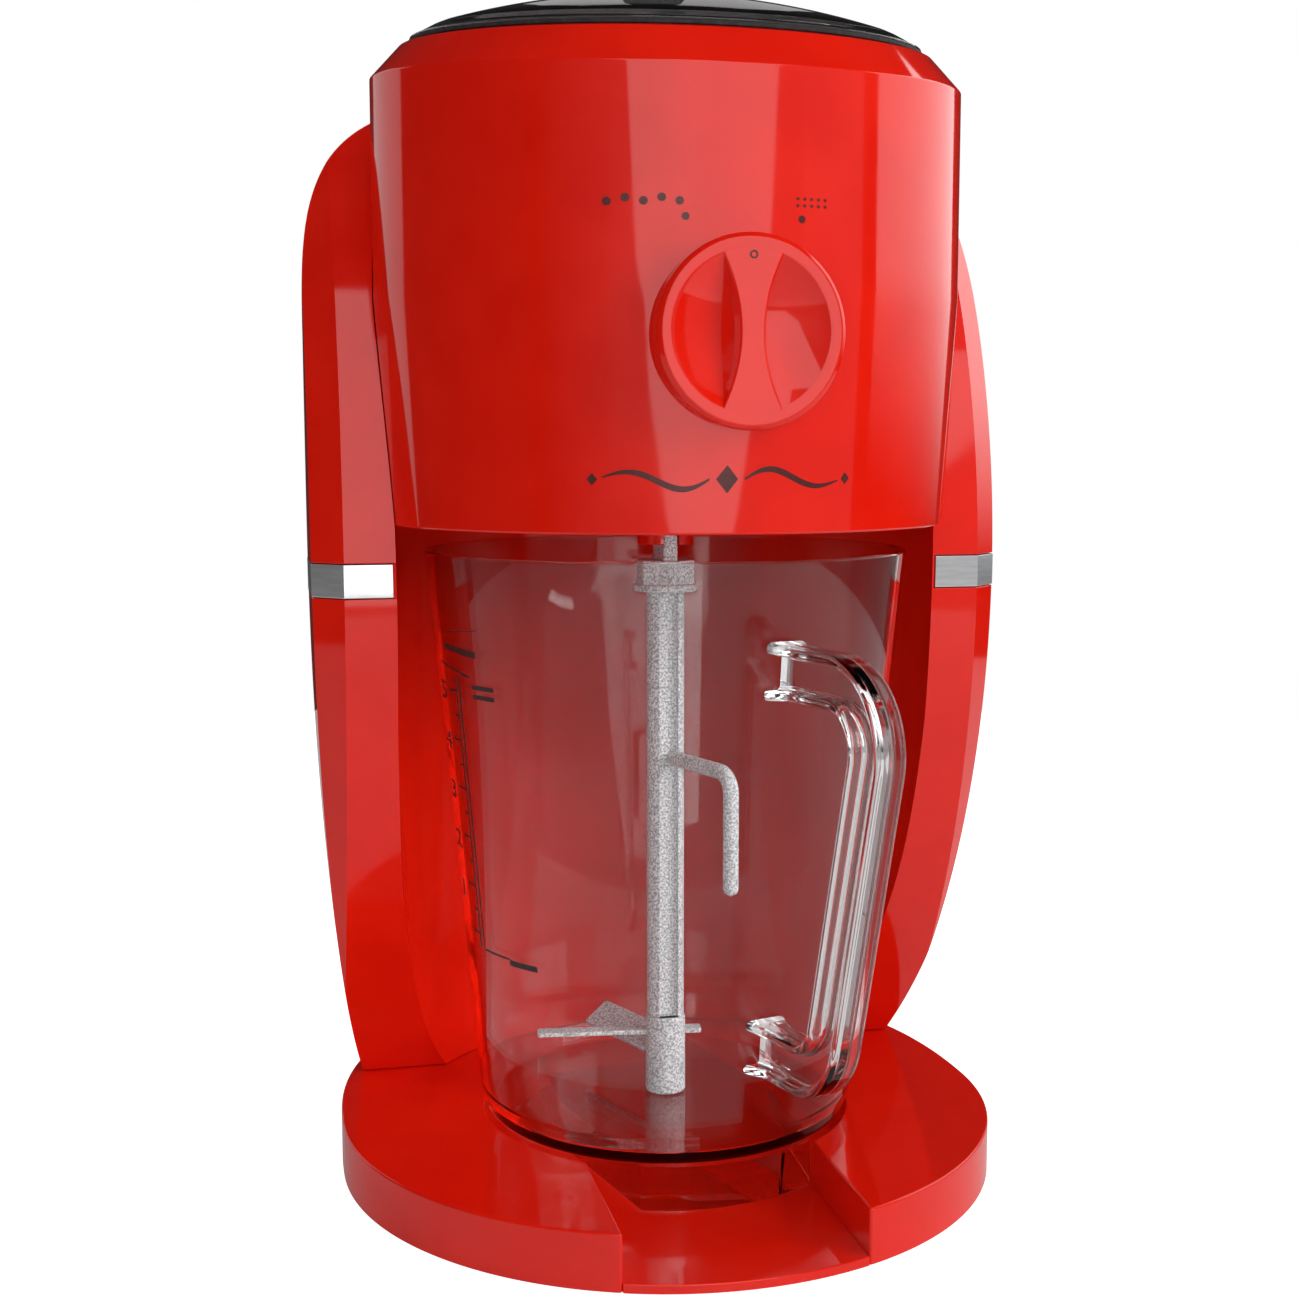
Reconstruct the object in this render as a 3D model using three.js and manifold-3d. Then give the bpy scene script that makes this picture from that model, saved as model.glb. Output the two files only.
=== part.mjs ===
// Countertop shaved ice machine: a round base, a rear column that holds the motor, a head drum with the
// ice hopper and the shaving blade, and a clear pitcher with a stirrer that the same drive turns.
// Millimetres, +Z up, origin at the middle of the base on the machine's vertical axis, front towards -Y.
import * as THREE from 'three';
import { mergeVertices } from 'three/addons/utils/BufferGeometryUtils.js';
import Module from 'manifold-3d';

const wasm = await Module();
wasm.setup();

// ---------------------------------------------------------------- driving dimensions
const GAP = 0.3;                 // clearance between touching pieces
const WALL = 2.6;                // moulded shell thickness

const BASE_RADIUS = 117.5;       // front half circle of the base
const BASE_REAR = 139.5;         // depth of the rear half of the base
const BASE_REAR_POWER = 2.3;     // exponent of the rear half's superellipse
const BASE_UNDERSIDE = 0.8;
const BASE_TOP = 19.8;
const CHANNEL_HALF = 40;         // the pitcher's foot slides in along this channel
const RECESS_RADIUS = 66.2;
const RECESS_FLOOR = 4;
const RECESS_SKIN = 1.6;         // thickness under the recess
const SCREW_BORE = 1.8;
const SCREW_SHANK = 1.5;
const FOOT_RADIUS = 8.5;
const FOOT_TOP = 4.7;
const FOOT_PLACES = [[-82, -56], [82, -56], [-88, 62], [88, 62]];
const BASE_SCREW_PLACES = [[-100, 0], [100, 0], [-40, 124], [40, 124]];

const COLUMN_FOOT = BASE_TOP + GAP;
const COLUMN_HALF_WIDTH = 124.7;
const COLUMN_REAR = 136;
const COLUMN_PLAN_POWER = 3.2;
const COLUMN_WIDEST_Z = 255;
const COLUMN_SHOULDER_Z = 300;
const COLUMN_TOP = 388;
const COLUMN_CROWN = 386;        // the shell closes flat here, just under the curve's end
const CHAMFER = 10.5;            // 45 degree chamfer along the column's front edges
const FRONT_EDGE_Z = 215;        // the front edges reach furthest forward here
const FRONT_EDGE_Y = -13;
const FRONT_RADIUS_LOW = 315;
const FRONT_RADIUS_HIGH = 240;
const BAND_LOW = 208.2;
const BAND_HIGH = 219.6;
const BAND_BEHIND_RADIUS = 100.6; // the lower shell carries the bay's wall up behind the band
const BELT_WINDOW_HALF = 22;     // the belt passes from the head into the column here
const PANEL_HALF = 60;           // service cover on the column's back
const PANEL_LOW = 240;
const PANEL_HIGH = 346;
const VENT_ROWS = 7;
const VENT_PITCH = 9;
const VENT_HEIGHT = 3.4;

const HEAD_BOTTOM = 232.5;
const HEAD_RADIUS_BOTTOM = 97.5;
const HEAD_RADIUS = 101.5;
const HEAD_STRAIGHT_Z = 308;     // above this the drum is straight
const TOP_SLOPE = 0.1;           // the top leans down to the front: height gained per unit of +Y
const SLANT_START = 330;         // heights lean progressively between these two
const SLANT_FULL = 381.8;
const HEAD_CHAMFER_Z = 392.7;
const HEAD_CHAMFER_RADIUS = 91.5;
const HEAD_LIP_Z = 393.4;
const HEAD_LIP_RADIUS = 88.6;
const HEAD_MOUTH_RADIUS = 86;
const HEAD_COVER_RADIUS = 94.5;
const HEAD_COVER_LOW = 232.9;
const HEAD_COVER_HIGH = 235.5;

const KNOB_Z = 293;
const KNOB_RADIUS = 29;
const KNOB_FACE = -110.6;
const KNOB_BACK = -101.9;
const KNOB_RECESS_RADIUS = 24.6;
const KNOB_RECESS_DEPTH = 7.2;
const KNOB_SHAFT_RADIUS = 4;
const KNOB_SHAFT_END = -88.3;
const KNOB_SEAT = -101.6;        // flat seat on the drum behind the knob
const BUSH_RADIUS = 7;
const CAM_ARM = 8;               // the cam pin's distance from the knob's axis
const CAM_RADIUS = 12;
const CAM_FRONT = -88;
const CAM_REAR = -84.6;
const CAM_PIN_RADIUS = 2;
const CAM_PIN_END = -78;

const PITCHER_BOTTOM = 20.1;
const PITCHER_RADIUS_BOTTOM = 65;
const PITCHER_RADIUS_HEEL = 67.7;
const PITCHER_HEEL_Z = 29;
const PITCHER_RADIUS_RIM = 85.3;
const PITCHER_RIM = 223.4;
const PITCHER_WALL = 2.6;
const PITCHER_FLOOR = 3;
const HANDLE_ANGLE = 14.4;       // degrees from the front towards +X
const HANDLE_UPPER = 188;        // heights of the handle's two arms
const HANDLE_LOWER = 61;
const HANDLE_OUT_TOP = 138.6;    // the grip's corner radii, measured to its centre line
const HANDLE_OUT_LOW = 108.8;
const HANDLE_BEND = 23;
const SPOUT_START = 201;
const SPOUT_REACH = 5;
const FOOT_KEY_HALF = 37.4;
const FOOT_KEY_TRIM = 39.3;

const STIRRER_RADIUS = 6.8;
const HUB_RADIUS = 7.3;
const HUB_BOTTOM = 23.6;
const HUB_TOP = 52;
const HEX_BOTTOM = 210.4;
const HEX_TOP = 219;
const HEX_RADIUS = 10.9;
const FLANGE_BOTTOM = 207.9;
const FLANGE_RADIUS = 11.5;
const HOOK_Z = 148;
const HOOK_REACH = 44;
const HOOK_ANGLE = 17;
const HOOK_END = 105.5;
const HOOK_BEND = 6;
const HOOK_WIRE_RADIUS = 2.7;
const TENON_HALF = 2.5;          // the flat tenon that the drive socket turns
const TENON_REACH = 8.4;
const TENON_TOP = 229.9;
const PADDLE_REACH = 46;
const PADDLE_HALF = 6;
const PADDLE_HALF_THICKNESS = 1.1;
const PADDLE_PITCH = -32;
const PADDLE_ANGLE = 112;
const PADDLE_Z = 40.4;
const BAR_REACH = 47;
const BAR_STUB_REACH = 12.5;
const BAR_ANGLE = 172;
const BAR_HALF = 3;
const BAR_LOW = 45.2;
const BAR_HIGH = 46.8;
const PIVOT_RADIUS = 2.5;
const PIVOT_TOP = 32;

const SPINDLE_RADIUS = 5;
const SPINDLE_TOP = 345;
const SOCKET_RADIUS = 10;
const SOCKET_LOW = 224.6;        // clears the pitcher's rim as it slides out
const SOCKET_HIGH = 232.6;
const PULLEY_LOW = 246;
const PULLEY_HIGH = 256;
const PULLEY_RADIUS = 36;
const SMALL_PULLEY_RADIUS = 9;
const PULLEY_RIM = 1.2;
const PULLEY_RIM_REACH = 2;
const BEARING_RADIUS = 9;
const BEARING_FLANGE_RADIUS = 12;
const IMPELLER_LOW = 316;
const IMPELLER_HIGH = 342;
const VANE_REACH = 73;
const VANE_TOP = 334;
const BELT_THICKNESS = 2;
const MOTOR_Y = 117.5;
const MOTOR_RADIUS = 15.6;
const MOTOR_LOW = 118;
const MOTOR_HIGH = 186;
const MOTOR_CAP_LOW = 110;
const BRACKET_HIGH = 189.5;
const MOTOR_SCREW_REACH = 10;
const ROTOR_RADIUS = 2;
const ROTOR_LOW = 106;
const ROTOR_HIGH = 260;
const ROTOR_BORE = ROTOR_RADIUS + GAP;
const FAN_LOW = 196;
const FAN_HIGH = 203;

const GROMMET_Z = 46;            // cord entry, low on the column's back
const SWITCH_Z = 84;             // rocker switch, low on the column's back
const SWITCH_PIVOT_Y = COLUMN_REAR - 2.4;

const FLOOR_LOW = 306;           // hopper floor
const FLOOR_HIGH = 309;
const HOPPER_TOP = 390.4;
const BLADE_Y = -50;             // middle of the blade slot, on the front radius
const BLADE_SLOT_HALF = 9;
const CHUTE_HALF = 20;
const CHUTE_WALL = 2;
const CARRIER_LOW = KNOB_Z - 7;
const CARRIER_HIGH = KNOB_Z + 9;
const GUIDE_REACH = 17.5;
const GUIDE_RADIUS = 2.05;

const DOME_TOP = 412.4;
const DOME_SAG = 0.00197;        // the dome falls by this times the radius squared
const DOME_RADIUS = 87.8;
const DOME_WALL = 2.4;
const DOME_STEPS = 6;
const SKIRT_RADIUS = 82.4;
const SKIRT_INSIDE = 80.2;
const SKIRT_LOW = 386;
const SEAL_LOW = 393.7;
const SEAL_HIGH = 395;
const LID_POST_LOW = 364;

// ---------------------------------------------------------------- helpers
const radians = THREE.MathUtils.degToRad;

function solid(geometry) {
  const bare = geometry.index ? geometry.toNonIndexed() : geometry.clone();
  const onlyPlaces = new THREE.BufferGeometry();
  onlyPlaces.setAttribute('position', bare.getAttribute('position'));
  const merged = mergeVertices(onlyPlaces, 1e-3);
  return new wasm.Manifold(new wasm.Mesh({
    numProp: 3,
    vertProperties: merged.attributes.position.array,
    triVerts: new Uint32Array(merged.index.array),
  }));
}

function join(first, ...others) {
  return others.reduce((whole, piece) => whole.add(piece), first);
}

function cut(first, ...tools) {
  return tools.reduce((rest, tool) => rest.subtract(tool), first);
}

function common(first, ...others) {
  return others.reduce((rest, other) => rest.intersect(other), first);
}

function box(x0, x1, y0, y1, z0, z1) {
  const geometry = new THREE.BoxGeometry(x1 - x0, y1 - y0, z1 - z0);
  geometry.translate((x0 + x1) / 2, (y0 + y1) / 2, (z0 + z1) / 2);
  return solid(geometry);
}

// An upright cylinder or cone frustum between two heights.
function post(radius, z0, z1, x = 0, y = 0, segments = 24, topRadius = radius) {
  const geometry = new THREE.CylinderGeometry(topRadius, radius, z1 - z0, segments);
  geometry.rotateX(Math.PI / 2);
  geometry.translate(x, y, (z0 + z1) / 2);
  return solid(geometry);
}

// A cylinder along Y, from y0 (front) to y1 (rear).
function rodY(radius, y0, y1, x = 0, z = 0, segments = 24, frontRadius = radius) {
  const geometry = new THREE.CylinderGeometry(radius, frontRadius, y1 - y0, segments);
  geometry.translate(x, (y0 + y1) / 2, z);
  return solid(geometry);
}

// A cylinder along X, from x0 to x1.
function rodX(radius, x0, x1, y, z, segments = 12) {
  const geometry = new THREE.CylinderGeometry(radius, radius, x1 - x0, segments);
  geometry.rotateZ(Math.PI / 2);
  geometry.translate((x0 + x1) / 2, y, z);
  return solid(geometry);
}

// A body of revolution about Z; profile points are [radius, z] with the material on the left.
function latheGeometry(profile, segments = 48, start = 0) {
  const points = profile.map(([radius, z]) => new THREE.Vector2(radius, z));
  const geometry = new THREE.LatheGeometry(points, segments, start);
  geometry.rotateX(Math.PI / 2);
  return geometry;
}

function lathe(profile, segments = 48) {
  return solid(latheGeometry(profile, segments));
}

function shapeOf(points) {
  return new THREE.Shape(points.map(([a, b]) => new THREE.Vector2(a, b)));
}

// A plan outline (x, y) raised from z0 to z1.
function raised(points, z0, z1, steps = 1) {
  const geometry = new THREE.ExtrudeGeometry(shapeOf(points), {
    depth: z1 - z0,
    bevelEnabled: false,
    steps,
  });
  geometry.translate(0, 0, z0);
  return geometry;
}

// A side outline (y, z) carried across from x0 to x1.
function across(points, x0, x1) {
  const geometry = new THREE.ExtrudeGeometry(shapeOf(points), { depth: x1 - x0, bevelEnabled: false });
  geometry.applyMatrix4(new THREE.Matrix4().set(0, 0, 1, x0, 1, 0, 0, 0, 0, 1, 0, 0, 0, 0, 0, 1));
  return geometry;
}

// A section swept along a path of points.
function swept(section, path, steps) {
  return new THREE.ExtrudeGeometry(section, { steps, bevelEnabled: false, extrudePath: path });
}

function circleShape(radius, sides) {
  const shape = new THREE.Shape();
  shape.absarc(0, 0, radius, 0, Math.PI * 2, false);
  return new THREE.Shape(shape.getSpacedPoints(sides).slice(0, sides));
}

function turned(piece, degrees) {
  return piece.rotate([0, 0, degrees]);
}

// Leans the upper part of the head so that its top slopes down towards the front.
function slant(geometry) {
  const places = geometry.getAttribute('position');
  for (let i = 0; i < places.count; i += 1) {
    const share = THREE.MathUtils.smoothstep(places.getZ(i), SLANT_START, SLANT_FULL);
    places.setZ(i, places.getZ(i) + TOP_SLOPE * places.getY(i) * share);
  }
  return geometry;
}

function slantedLathe(profile, segments = 48) {
  return solid(slant(latheGeometry(profile, segments)));
}

const machine = new THREE.Group();

function addPart(name, piece, material) {
  const mesh = piece.getMesh();
  const geometry = new THREE.BufferGeometry();
  geometry.setAttribute('position', new THREE.BufferAttribute(new Float32Array(mesh.vertProperties), 3));
  geometry.setIndex(new THREE.BufferAttribute(new Uint32Array(mesh.triVerts), 1));
  geometry.computeVertexNormals();
  const node = new THREE.Mesh(geometry, material.clone());
  node.name = name;
  machine.add(node);
}

// ---------------------------------------------------------------- materials
function plain(color, roughness, metalness, opacity = 1) {
  return new THREE.MeshStandardMaterial({
    color,
    roughness,
    metalness,
    opacity,
    transparent: opacity < 1,
  });
}

const redGloss = plain(0xd81e0a, 0.15, 0);
const silver = plain(0xc8cace, 0.25, 1);
const clear = plain(0xd9dcde, 0.05, 0, 0.3);
const smoked = plain(0x4a4a4d, 0.08, 0, 0.6);
const greyNylon = plain(0xb9babb, 0.6, 0);
const darkPlastic = plain(0x222224, 0.5, 0);
const whitePlastic = plain(0xe6e5e0, 0.4, 0);
const rubber = plain(0x1a1a1a, 0.85, 0);
const steel = plain(0xb4b8bc, 0.3, 1);
const zinc = plain(0x8f959b, 0.45, 1);
const brass = plain(0xb5893c, 0.35, 1);

// ---------------------------------------------------------------- outlines
// The base in plan: a half circle in front and a fuller half behind, drawn inwards by inset.
function baseOutline(inset, segments = 48) {
  const points = [];
  for (let i = 0; i < segments; i += 1) {
    const angle = (i / segments) * Math.PI * 2;
    const c = Math.cos(angle);
    const s = Math.sin(angle);
    if (s <= 0) {
      points.push([(BASE_RADIUS - inset) * c, (BASE_RADIUS - inset) * s]);
    } else {
      const power = 2 / BASE_REAR_POWER;
      points.push([
        (BASE_RADIUS - inset) * Math.sign(c) * Math.abs(c) ** power,
        (BASE_REAR - inset) * s ** power,
      ]);
    }
  }
  return points;
}

// Share of the column's full half width at a height: a slow barrel below, a rounded shoulder above.
function columnShare(z) {
  if (z > COLUMN_SHOULDER_Z) {
    const rise = (z - COLUMN_SHOULDER_Z) / (COLUMN_TOP - COLUMN_SHOULDER_Z);
    return (1 - Math.min(rise, 1) ** 3.2) ** 0.25;
  }
  const drop = Math.max(COLUMN_WIDEST_Z - z, 0) / (COLUMN_WIDEST_Z - 40);
  return 1 - 0.104 * drop ** 2.6;
}

// How far back the front edge lies at a height.
function frontEdge(z) {
  const radius = z < FRONT_EDGE_Z ? FRONT_RADIUS_LOW : FRONT_RADIUS_HIGH;
  return FRONT_EDGE_Y + radius - Math.sqrt(radius ** 2 - (z - FRONT_EDGE_Z) ** 2);
}

function headRadius(z) {
  const share = Math.min((z - HEAD_BOTTOM) / (HEAD_STRAIGHT_Z - HEAD_BOTTOM), 1);
  return HEAD_RADIUS_BOTTOM + (HEAD_RADIUS - HEAD_RADIUS_BOTTOM) * share;
}

// The wall of the bay that the pitcher stands in widens slowly upwards.
const BAY_PROFILE = [[92.4, 20], [92.7, 60], [94.9, 105], [97, 160], [97.8, 232]];

function pitcherOuter(z) {
  const share = (z - PITCHER_HEEL_Z) / (PITCHER_RIM - PITCHER_HEEL_Z);
  return PITCHER_RADIUS_HEEL + (PITCHER_RADIUS_RIM - PITCHER_RADIUS_HEEL) * share;
}

// ---------------------------------------------------------------- base
function makeBase() {
  const clearAbove = BASE_TOP + 10;
  const bossTop = BASE_TOP - 1;
  const outer = solid(raised(baseOutline(0), BASE_UNDERSIDE, BASE_TOP));
  const inside = solid(raised(baseOutline(WALL), 0, BASE_TOP - WALL));
  const floorUnder = RECESS_FLOOR - RECESS_SKIN;
  const tub = join(
    post(RECESS_RADIUS + WALL, floorUnder, clearAbove, 0, 0, 48),
    box(-CHANNEL_HALF - WALL, CHANNEL_HALF + WALL, -BASE_RADIUS, 0, floorUnder, clearAbove),
  );
  const recess = join(
    post(RECESS_RADIUS, RECESS_FLOOR, clearAbove, 0, 0, 48),
    box(-CHANNEL_HALF, CHANNEL_HALF, -BASE_RADIUS - 10, 0, RECESS_FLOOR, clearAbove),
  );
  let shell = cut(outer, cut(inside, tub), recess);
  for (const [x, y] of FOOT_PLACES) {
    const footBoss = post(FOOT_RADIUS - 2.5, FOOT_TOP + GAP, bossTop, x, y, 12);
    shell = join(shell, footBoss);
  }
  for (const [x, y] of BASE_SCREW_PLACES) {
    const screwBoss = post(5, 2.4, bossTop, x, y, 12);
    shell = join(shell, cut(screwBoss, post(SCREW_BORE, 0, 14, x, y, 10)));
  }
  addPart('base_shell', shell, redGloss);

  const coverTop = 2.1;
  let cover = solid(raised(baseOutline(WALL + GAP + 0.3), 1, coverTop));
  for (const [x, y] of FOOT_PLACES) {
    cover = cut(cover, post(FOOT_RADIUS + 0.4, 0, coverTop + 2, x, y, 16));
  }
  for (const [x, y] of BASE_SCREW_PLACES) {
    cover = cut(cover, post(SCREW_BORE, 0, coverTop + 2, x, y, 10));
  }
  addPart('base_bottom_cover', cover, darkPlastic);

  const footNames = ['front_left', 'front_right', 'rear_left', 'rear_right'];
  FOOT_PLACES.forEach(([x, y], i) => {
    addPart(`foot_${footNames[i]}`, post(FOOT_RADIUS, 0, FOOT_TOP, x, y, 16), rubber);
  });
  const screwNames = ['left', 'right', 'rear_left', 'rear_right'];
  BASE_SCREW_PLACES.forEach(([x, y], i) => {
    const head = post(3.2, 0.15, 0.7, x, y, 12);
    const shank = post(SCREW_SHANK, 0.5, 12, x, y, 10);
    addPart(`base_screw_${screwNames[i]}`, join(head, shank), zinc);
  });
}

// ---------------------------------------------------------------- column
// The column's outer form, drawn inwards by inset on every side, the bay's side included.
function columnForm(inset) {
  const heights = [COLUMN_FOOT, 70, 130, 200, 260, 305, 335, 354, 367, 377, 383, COLUMN_CROWN];
  const segments = 36;
  const plan = [];
  for (let i = 0; i < segments; i += 1) {
    const angle = (i / segments) * Math.PI * 2;
    const power = 2 / COLUMN_PLAN_POWER;
    const c = Math.cos(angle);
    const s = Math.sin(angle);
    plan.push([
      (COLUMN_HALF_WIDTH - inset) * Math.sign(c) * Math.abs(c) ** power,
      (COLUMN_REAR - inset) * Math.sign(s) * Math.abs(s) ** power,
    ]);
  }
  const geometry = raised(plan, 0, heights.length - 1, heights.length - 1);
  const places = geometry.getAttribute('position');
  for (let i = 0; i < places.count; i += 1) {
    const z = heights[Math.round(places.getZ(i))];
    const share = columnShare(z);
    const depthShare = z > COLUMN_SHOULDER_Z ? share ** 0.3 : 1;
    const lowered = z > COLUMN_SHOULDER_Z ? z - inset : z;
    places.setXYZ(i, places.getX(i) * share, places.getY(i) * depthShare, lowered);
  }
  const edge = [];
  const edgeSteps = 11;
  for (let i = 0; i <= edgeSteps; i += 1) {
    const z = THREE.MathUtils.lerp(10, COLUMN_TOP + 4, i / edgeSteps);
    edge.push([frontEdge(z) + inset, z]);
  }
  const farBehind = 600;
  const side = [[farBehind, 10], ...edge, [farBehind, COLUMN_TOP + 4]];
  const ahead = solid(across(side, -140, 140));
  // The chamfers are the same side outline, sheared so that it recedes one for one with x.
  const corner = COLUMN_HALF_WIDTH - CHAMFER - inset * 0.6;
  const chamfers = [-1, 1].map((hand) => {
    const geometryOfSide = across(side, -260, 260);
    const shear = new THREE.Matrix4().set(1, 0, 0, 0, hand, 1, 0, -corner, 0, 0, 1, 0, 0, 0, 0, 1);
    geometryOfSide.applyMatrix4(shear);
    return solid(geometryOfSide);
  });
  const bay = BAY_PROFILE.map(([radius, z]) => [radius + inset, z]);
  bay[bay.length - 1][1] -= inset;
  const drum = headRadius(HEAD_STRAIGHT_Z) + GAP + inset;
  const hollow = lathe([
    [0, 0],
    [bay[0][0], 0],
    ...bay,
    [HEAD_RADIUS_BOTTOM + GAP + inset, HEAD_BOTTOM - GAP - inset],
    [drum, HEAD_STRAIGHT_Z],
    [drum, 430],
    [0, 430],
  ], 48);
  return cut(common(solid(geometry), ahead, ...chamfers), hollow);
}

// The column has no floor: a slice of its inner form is carried on down through the foot.
function floorOpening(inner) {
  const footSlice = common(inner, box(-150, 150, -60, 160, COLUMN_FOOT - 5, COLUMN_FOOT + 4));
  return footSlice.translate([0, 0, -3]);
}

function makeColumn() {
  const inner = columnForm(WALL);
  const shell = cut(columnForm(0), inner, floorOpening(inner));
  const everywhere = [-150, 150, -60, 160];
  const overall = COLUMN_TOP + 42;
  const below = box(...everywhere, 0, BAND_LOW - GAP);
  const within = box(...everywhere, BAND_LOW, BAND_HIGH);
  const above = box(...everywhere, BAND_HIGH + GAP, overall);
  const bayColumn = post(BAND_BEHIND_RADIUS, 0, COLUMN_SHOULDER_Z, 0, 0, 40);
  const aroundBay = post(BAND_BEHIND_RADIUS + GAP, 0, overall, 0, 0, 40);
  const behindBand = common(box(...everywhere, 0, BAND_HIGH - GAP), bayColumn);

  const backFace = [COLUMN_REAR - 16, COLUMN_REAR + 24];
  const lowerBody = common(shell, join(below, behindBand));
  const grommetHole = rodY(7.3, ...backFace, 0, GROMMET_Z, 20);
  const switchHole = box(-8.8, 8.8, ...backFace, SWITCH_Z - 12.8, SWITCH_Z + 12.8);
  addPart('column_shell_lower', cut(lowerBody, grommetHole, switchHole), redGloss);
  addPart('silver_band', cut(common(shell, within), aroundBay), silver);

  const panelBox = (grow) => box(
    -PANEL_HALF - grow,
    PANEL_HALF + grow,
    COLUMN_REAR - 24,
    COLUMN_REAR + 24,
    PANEL_LOW - grow,
    PANEL_HIGH + grow,
  );
  const beltWindow = box(-BELT_WINDOW_HALF, BELT_WINDOW_HALF, 90, 112, PULLEY_LOW - 3, PULLEY_HIGH + 3);
  const upperBody = cut(common(shell, above), beltWindow, panelBox(0));
  addPart('column_shell_upper', upperBody, redGloss);
  let panel = common(shell, above, panelBox(-GAP));
  for (let row = 0; row < VENT_ROWS; row += 1) {
    const z = PANEL_LOW + 22 + row * VENT_PITCH;
    const leftVent = box(-34, -3, ...backFace, z, z + VENT_HEIGHT);
    const rightVent = box(3, 34, ...backFace, z, z + VENT_HEIGHT);
    panel = cut(panel, leftVent, rightVent);
  }
  addPart('rear_cover', panel, redGloss);
  makeGrommet();
  makeSwitch();
}

function makeGrommet() {
  const sleeve = rodY(7, COLUMN_REAR - 5, COLUMN_REAR + 1, 0, GROMMET_Z, 20);
  const collar = rodY(9.2, COLUMN_REAR + GAP, COLUMN_REAR + 2.6, 0, GROMMET_Z, 20);
  const cordHole = rodY(3.4, COLUMN_REAR - 16, COLUMN_REAR + 24, 0, GROMMET_Z, 16);
  addPart('cord_grommet', cut(join(sleeve, collar), cordHole), rubber);
}

function makeSwitch() {
  const pinHole = rodX(1.3, -9, 9, SWITCH_PIVOT_Y, SWITCH_Z);
  const body = box(-8.5, 8.5, COLUMN_REAR - 13, COLUMN_REAR + 1, SWITCH_Z - 12.5, SWITCH_Z + 12.5);
  const collar = box(-10.5, 10.5, COLUMN_REAR + GAP, COLUMN_REAR + 2.4, SWITCH_Z - 14.5, SWITCH_Z + 14.5);
  const well = box(-6.4, 6.4, COLUMN_REAR - 10, COLUMN_REAR + 24, SWITCH_Z - 10.6, SWITCH_Z + 10.6);
  addPart('switch_bezel', cut(join(body, collar), well, pinHole), darkPlastic);
  const rockerSide = [[-7, -6], [1.6, -9.6], [1.2, 0], [3.2, 8.8], [-7, 6]];
  const rocker = solid(across(rockerSide.map(([y, z]) => [y + COLUMN_REAR, z + SWITCH_Z]), -6, 6));
  addPart('switch_rocker', cut(rocker, pinHole), darkPlastic);
  addPart('switch_pivot_pin', rodX(1, -8.3, 8.3, SWITCH_PIVOT_Y, SWITCH_Z), steel);
}

// ---------------------------------------------------------------- head
function makeHead() {
  const shell = slantedLathe([
    [HEAD_RADIUS_BOTTOM - WALL, HEAD_BOTTOM],
    [HEAD_RADIUS_BOTTOM, HEAD_BOTTOM],
    [HEAD_RADIUS, HEAD_STRAIGHT_Z],
    [HEAD_RADIUS, SLANT_START],
    [HEAD_RADIUS, SLANT_FULL],
    [HEAD_CHAMFER_RADIUS, HEAD_CHAMFER_Z],
    [HEAD_LIP_RADIUS, HEAD_LIP_Z],
    [HEAD_MOUTH_RADIUS, HEAD_LIP_Z],
    [HEAD_MOUTH_RADIUS, HEAD_LIP_Z - 2.4],
    [HEAD_CHAMFER_RADIUS - 2, HEAD_CHAMFER_Z - 2.4],
    [HEAD_RADIUS - WALL, SLANT_FULL - 2],
    [HEAD_RADIUS - WALL, SLANT_START],
    [HEAD_RADIUS - WALL, HEAD_STRAIGHT_Z],
    [HEAD_RADIUS_BOTTOM - WALL, HEAD_BOTTOM],
  ], 48);
  const seat = rodY(KNOB_RADIUS - 0.6, KNOB_SEAT, -93, 0, KNOB_Z, 32);
  const seatHollow = rodY(KNOB_RADIUS - 3.2, KNOB_SEAT + 2.8, -92, 0, KNOB_Z, 24);
  const boss = rodY(BUSH_RADIUS + 3, KNOB_SEAT, -92, 0, KNOB_Z, 24);
  const bushHole = rodY(BUSH_RADIUS + GAP, -120, -80, 0, KNOB_Z, 24);
  const beltWindow = box(-BELT_WINDOW_HALF, BELT_WINDOW_HALF, 84, 112, PULLEY_LOW - 3, PULLEY_HIGH + 3);
  const seated = join(cut(join(shell, seat), seatHollow), boss);
  addPart('head_shell', cut(seated, bushHole, beltWindow), redGloss);

  const chuteMouth = [BLADE_Y - 30.4, BLADE_Y + 10.4];
  const cover = cut(
    post(HEAD_COVER_RADIUS, HEAD_COVER_LOW, HEAD_COVER_HIGH, 0, 0, 40),
    post(BEARING_FLANGE_RADIUS + 0.6, 200, 260),
    box(-CHUTE_HALF - 0.4, CHUTE_HALF + 0.4, ...chuteMouth, 200, 260),
  );
  addPart('head_bottom_cover', cover, redGloss);

  const bushBody = rodY(BUSH_RADIUS, KNOB_SEAT + 0.1, -90.5, 0, KNOB_Z, 24);
  const bushBore = rodY(KNOB_SHAFT_RADIUS + GAP, -120, -80, 0, KNOB_Z, 20);
  addPart('knob_bush', cut(bushBody, bushBore), whitePlastic);
  makeHopper();
}

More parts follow.
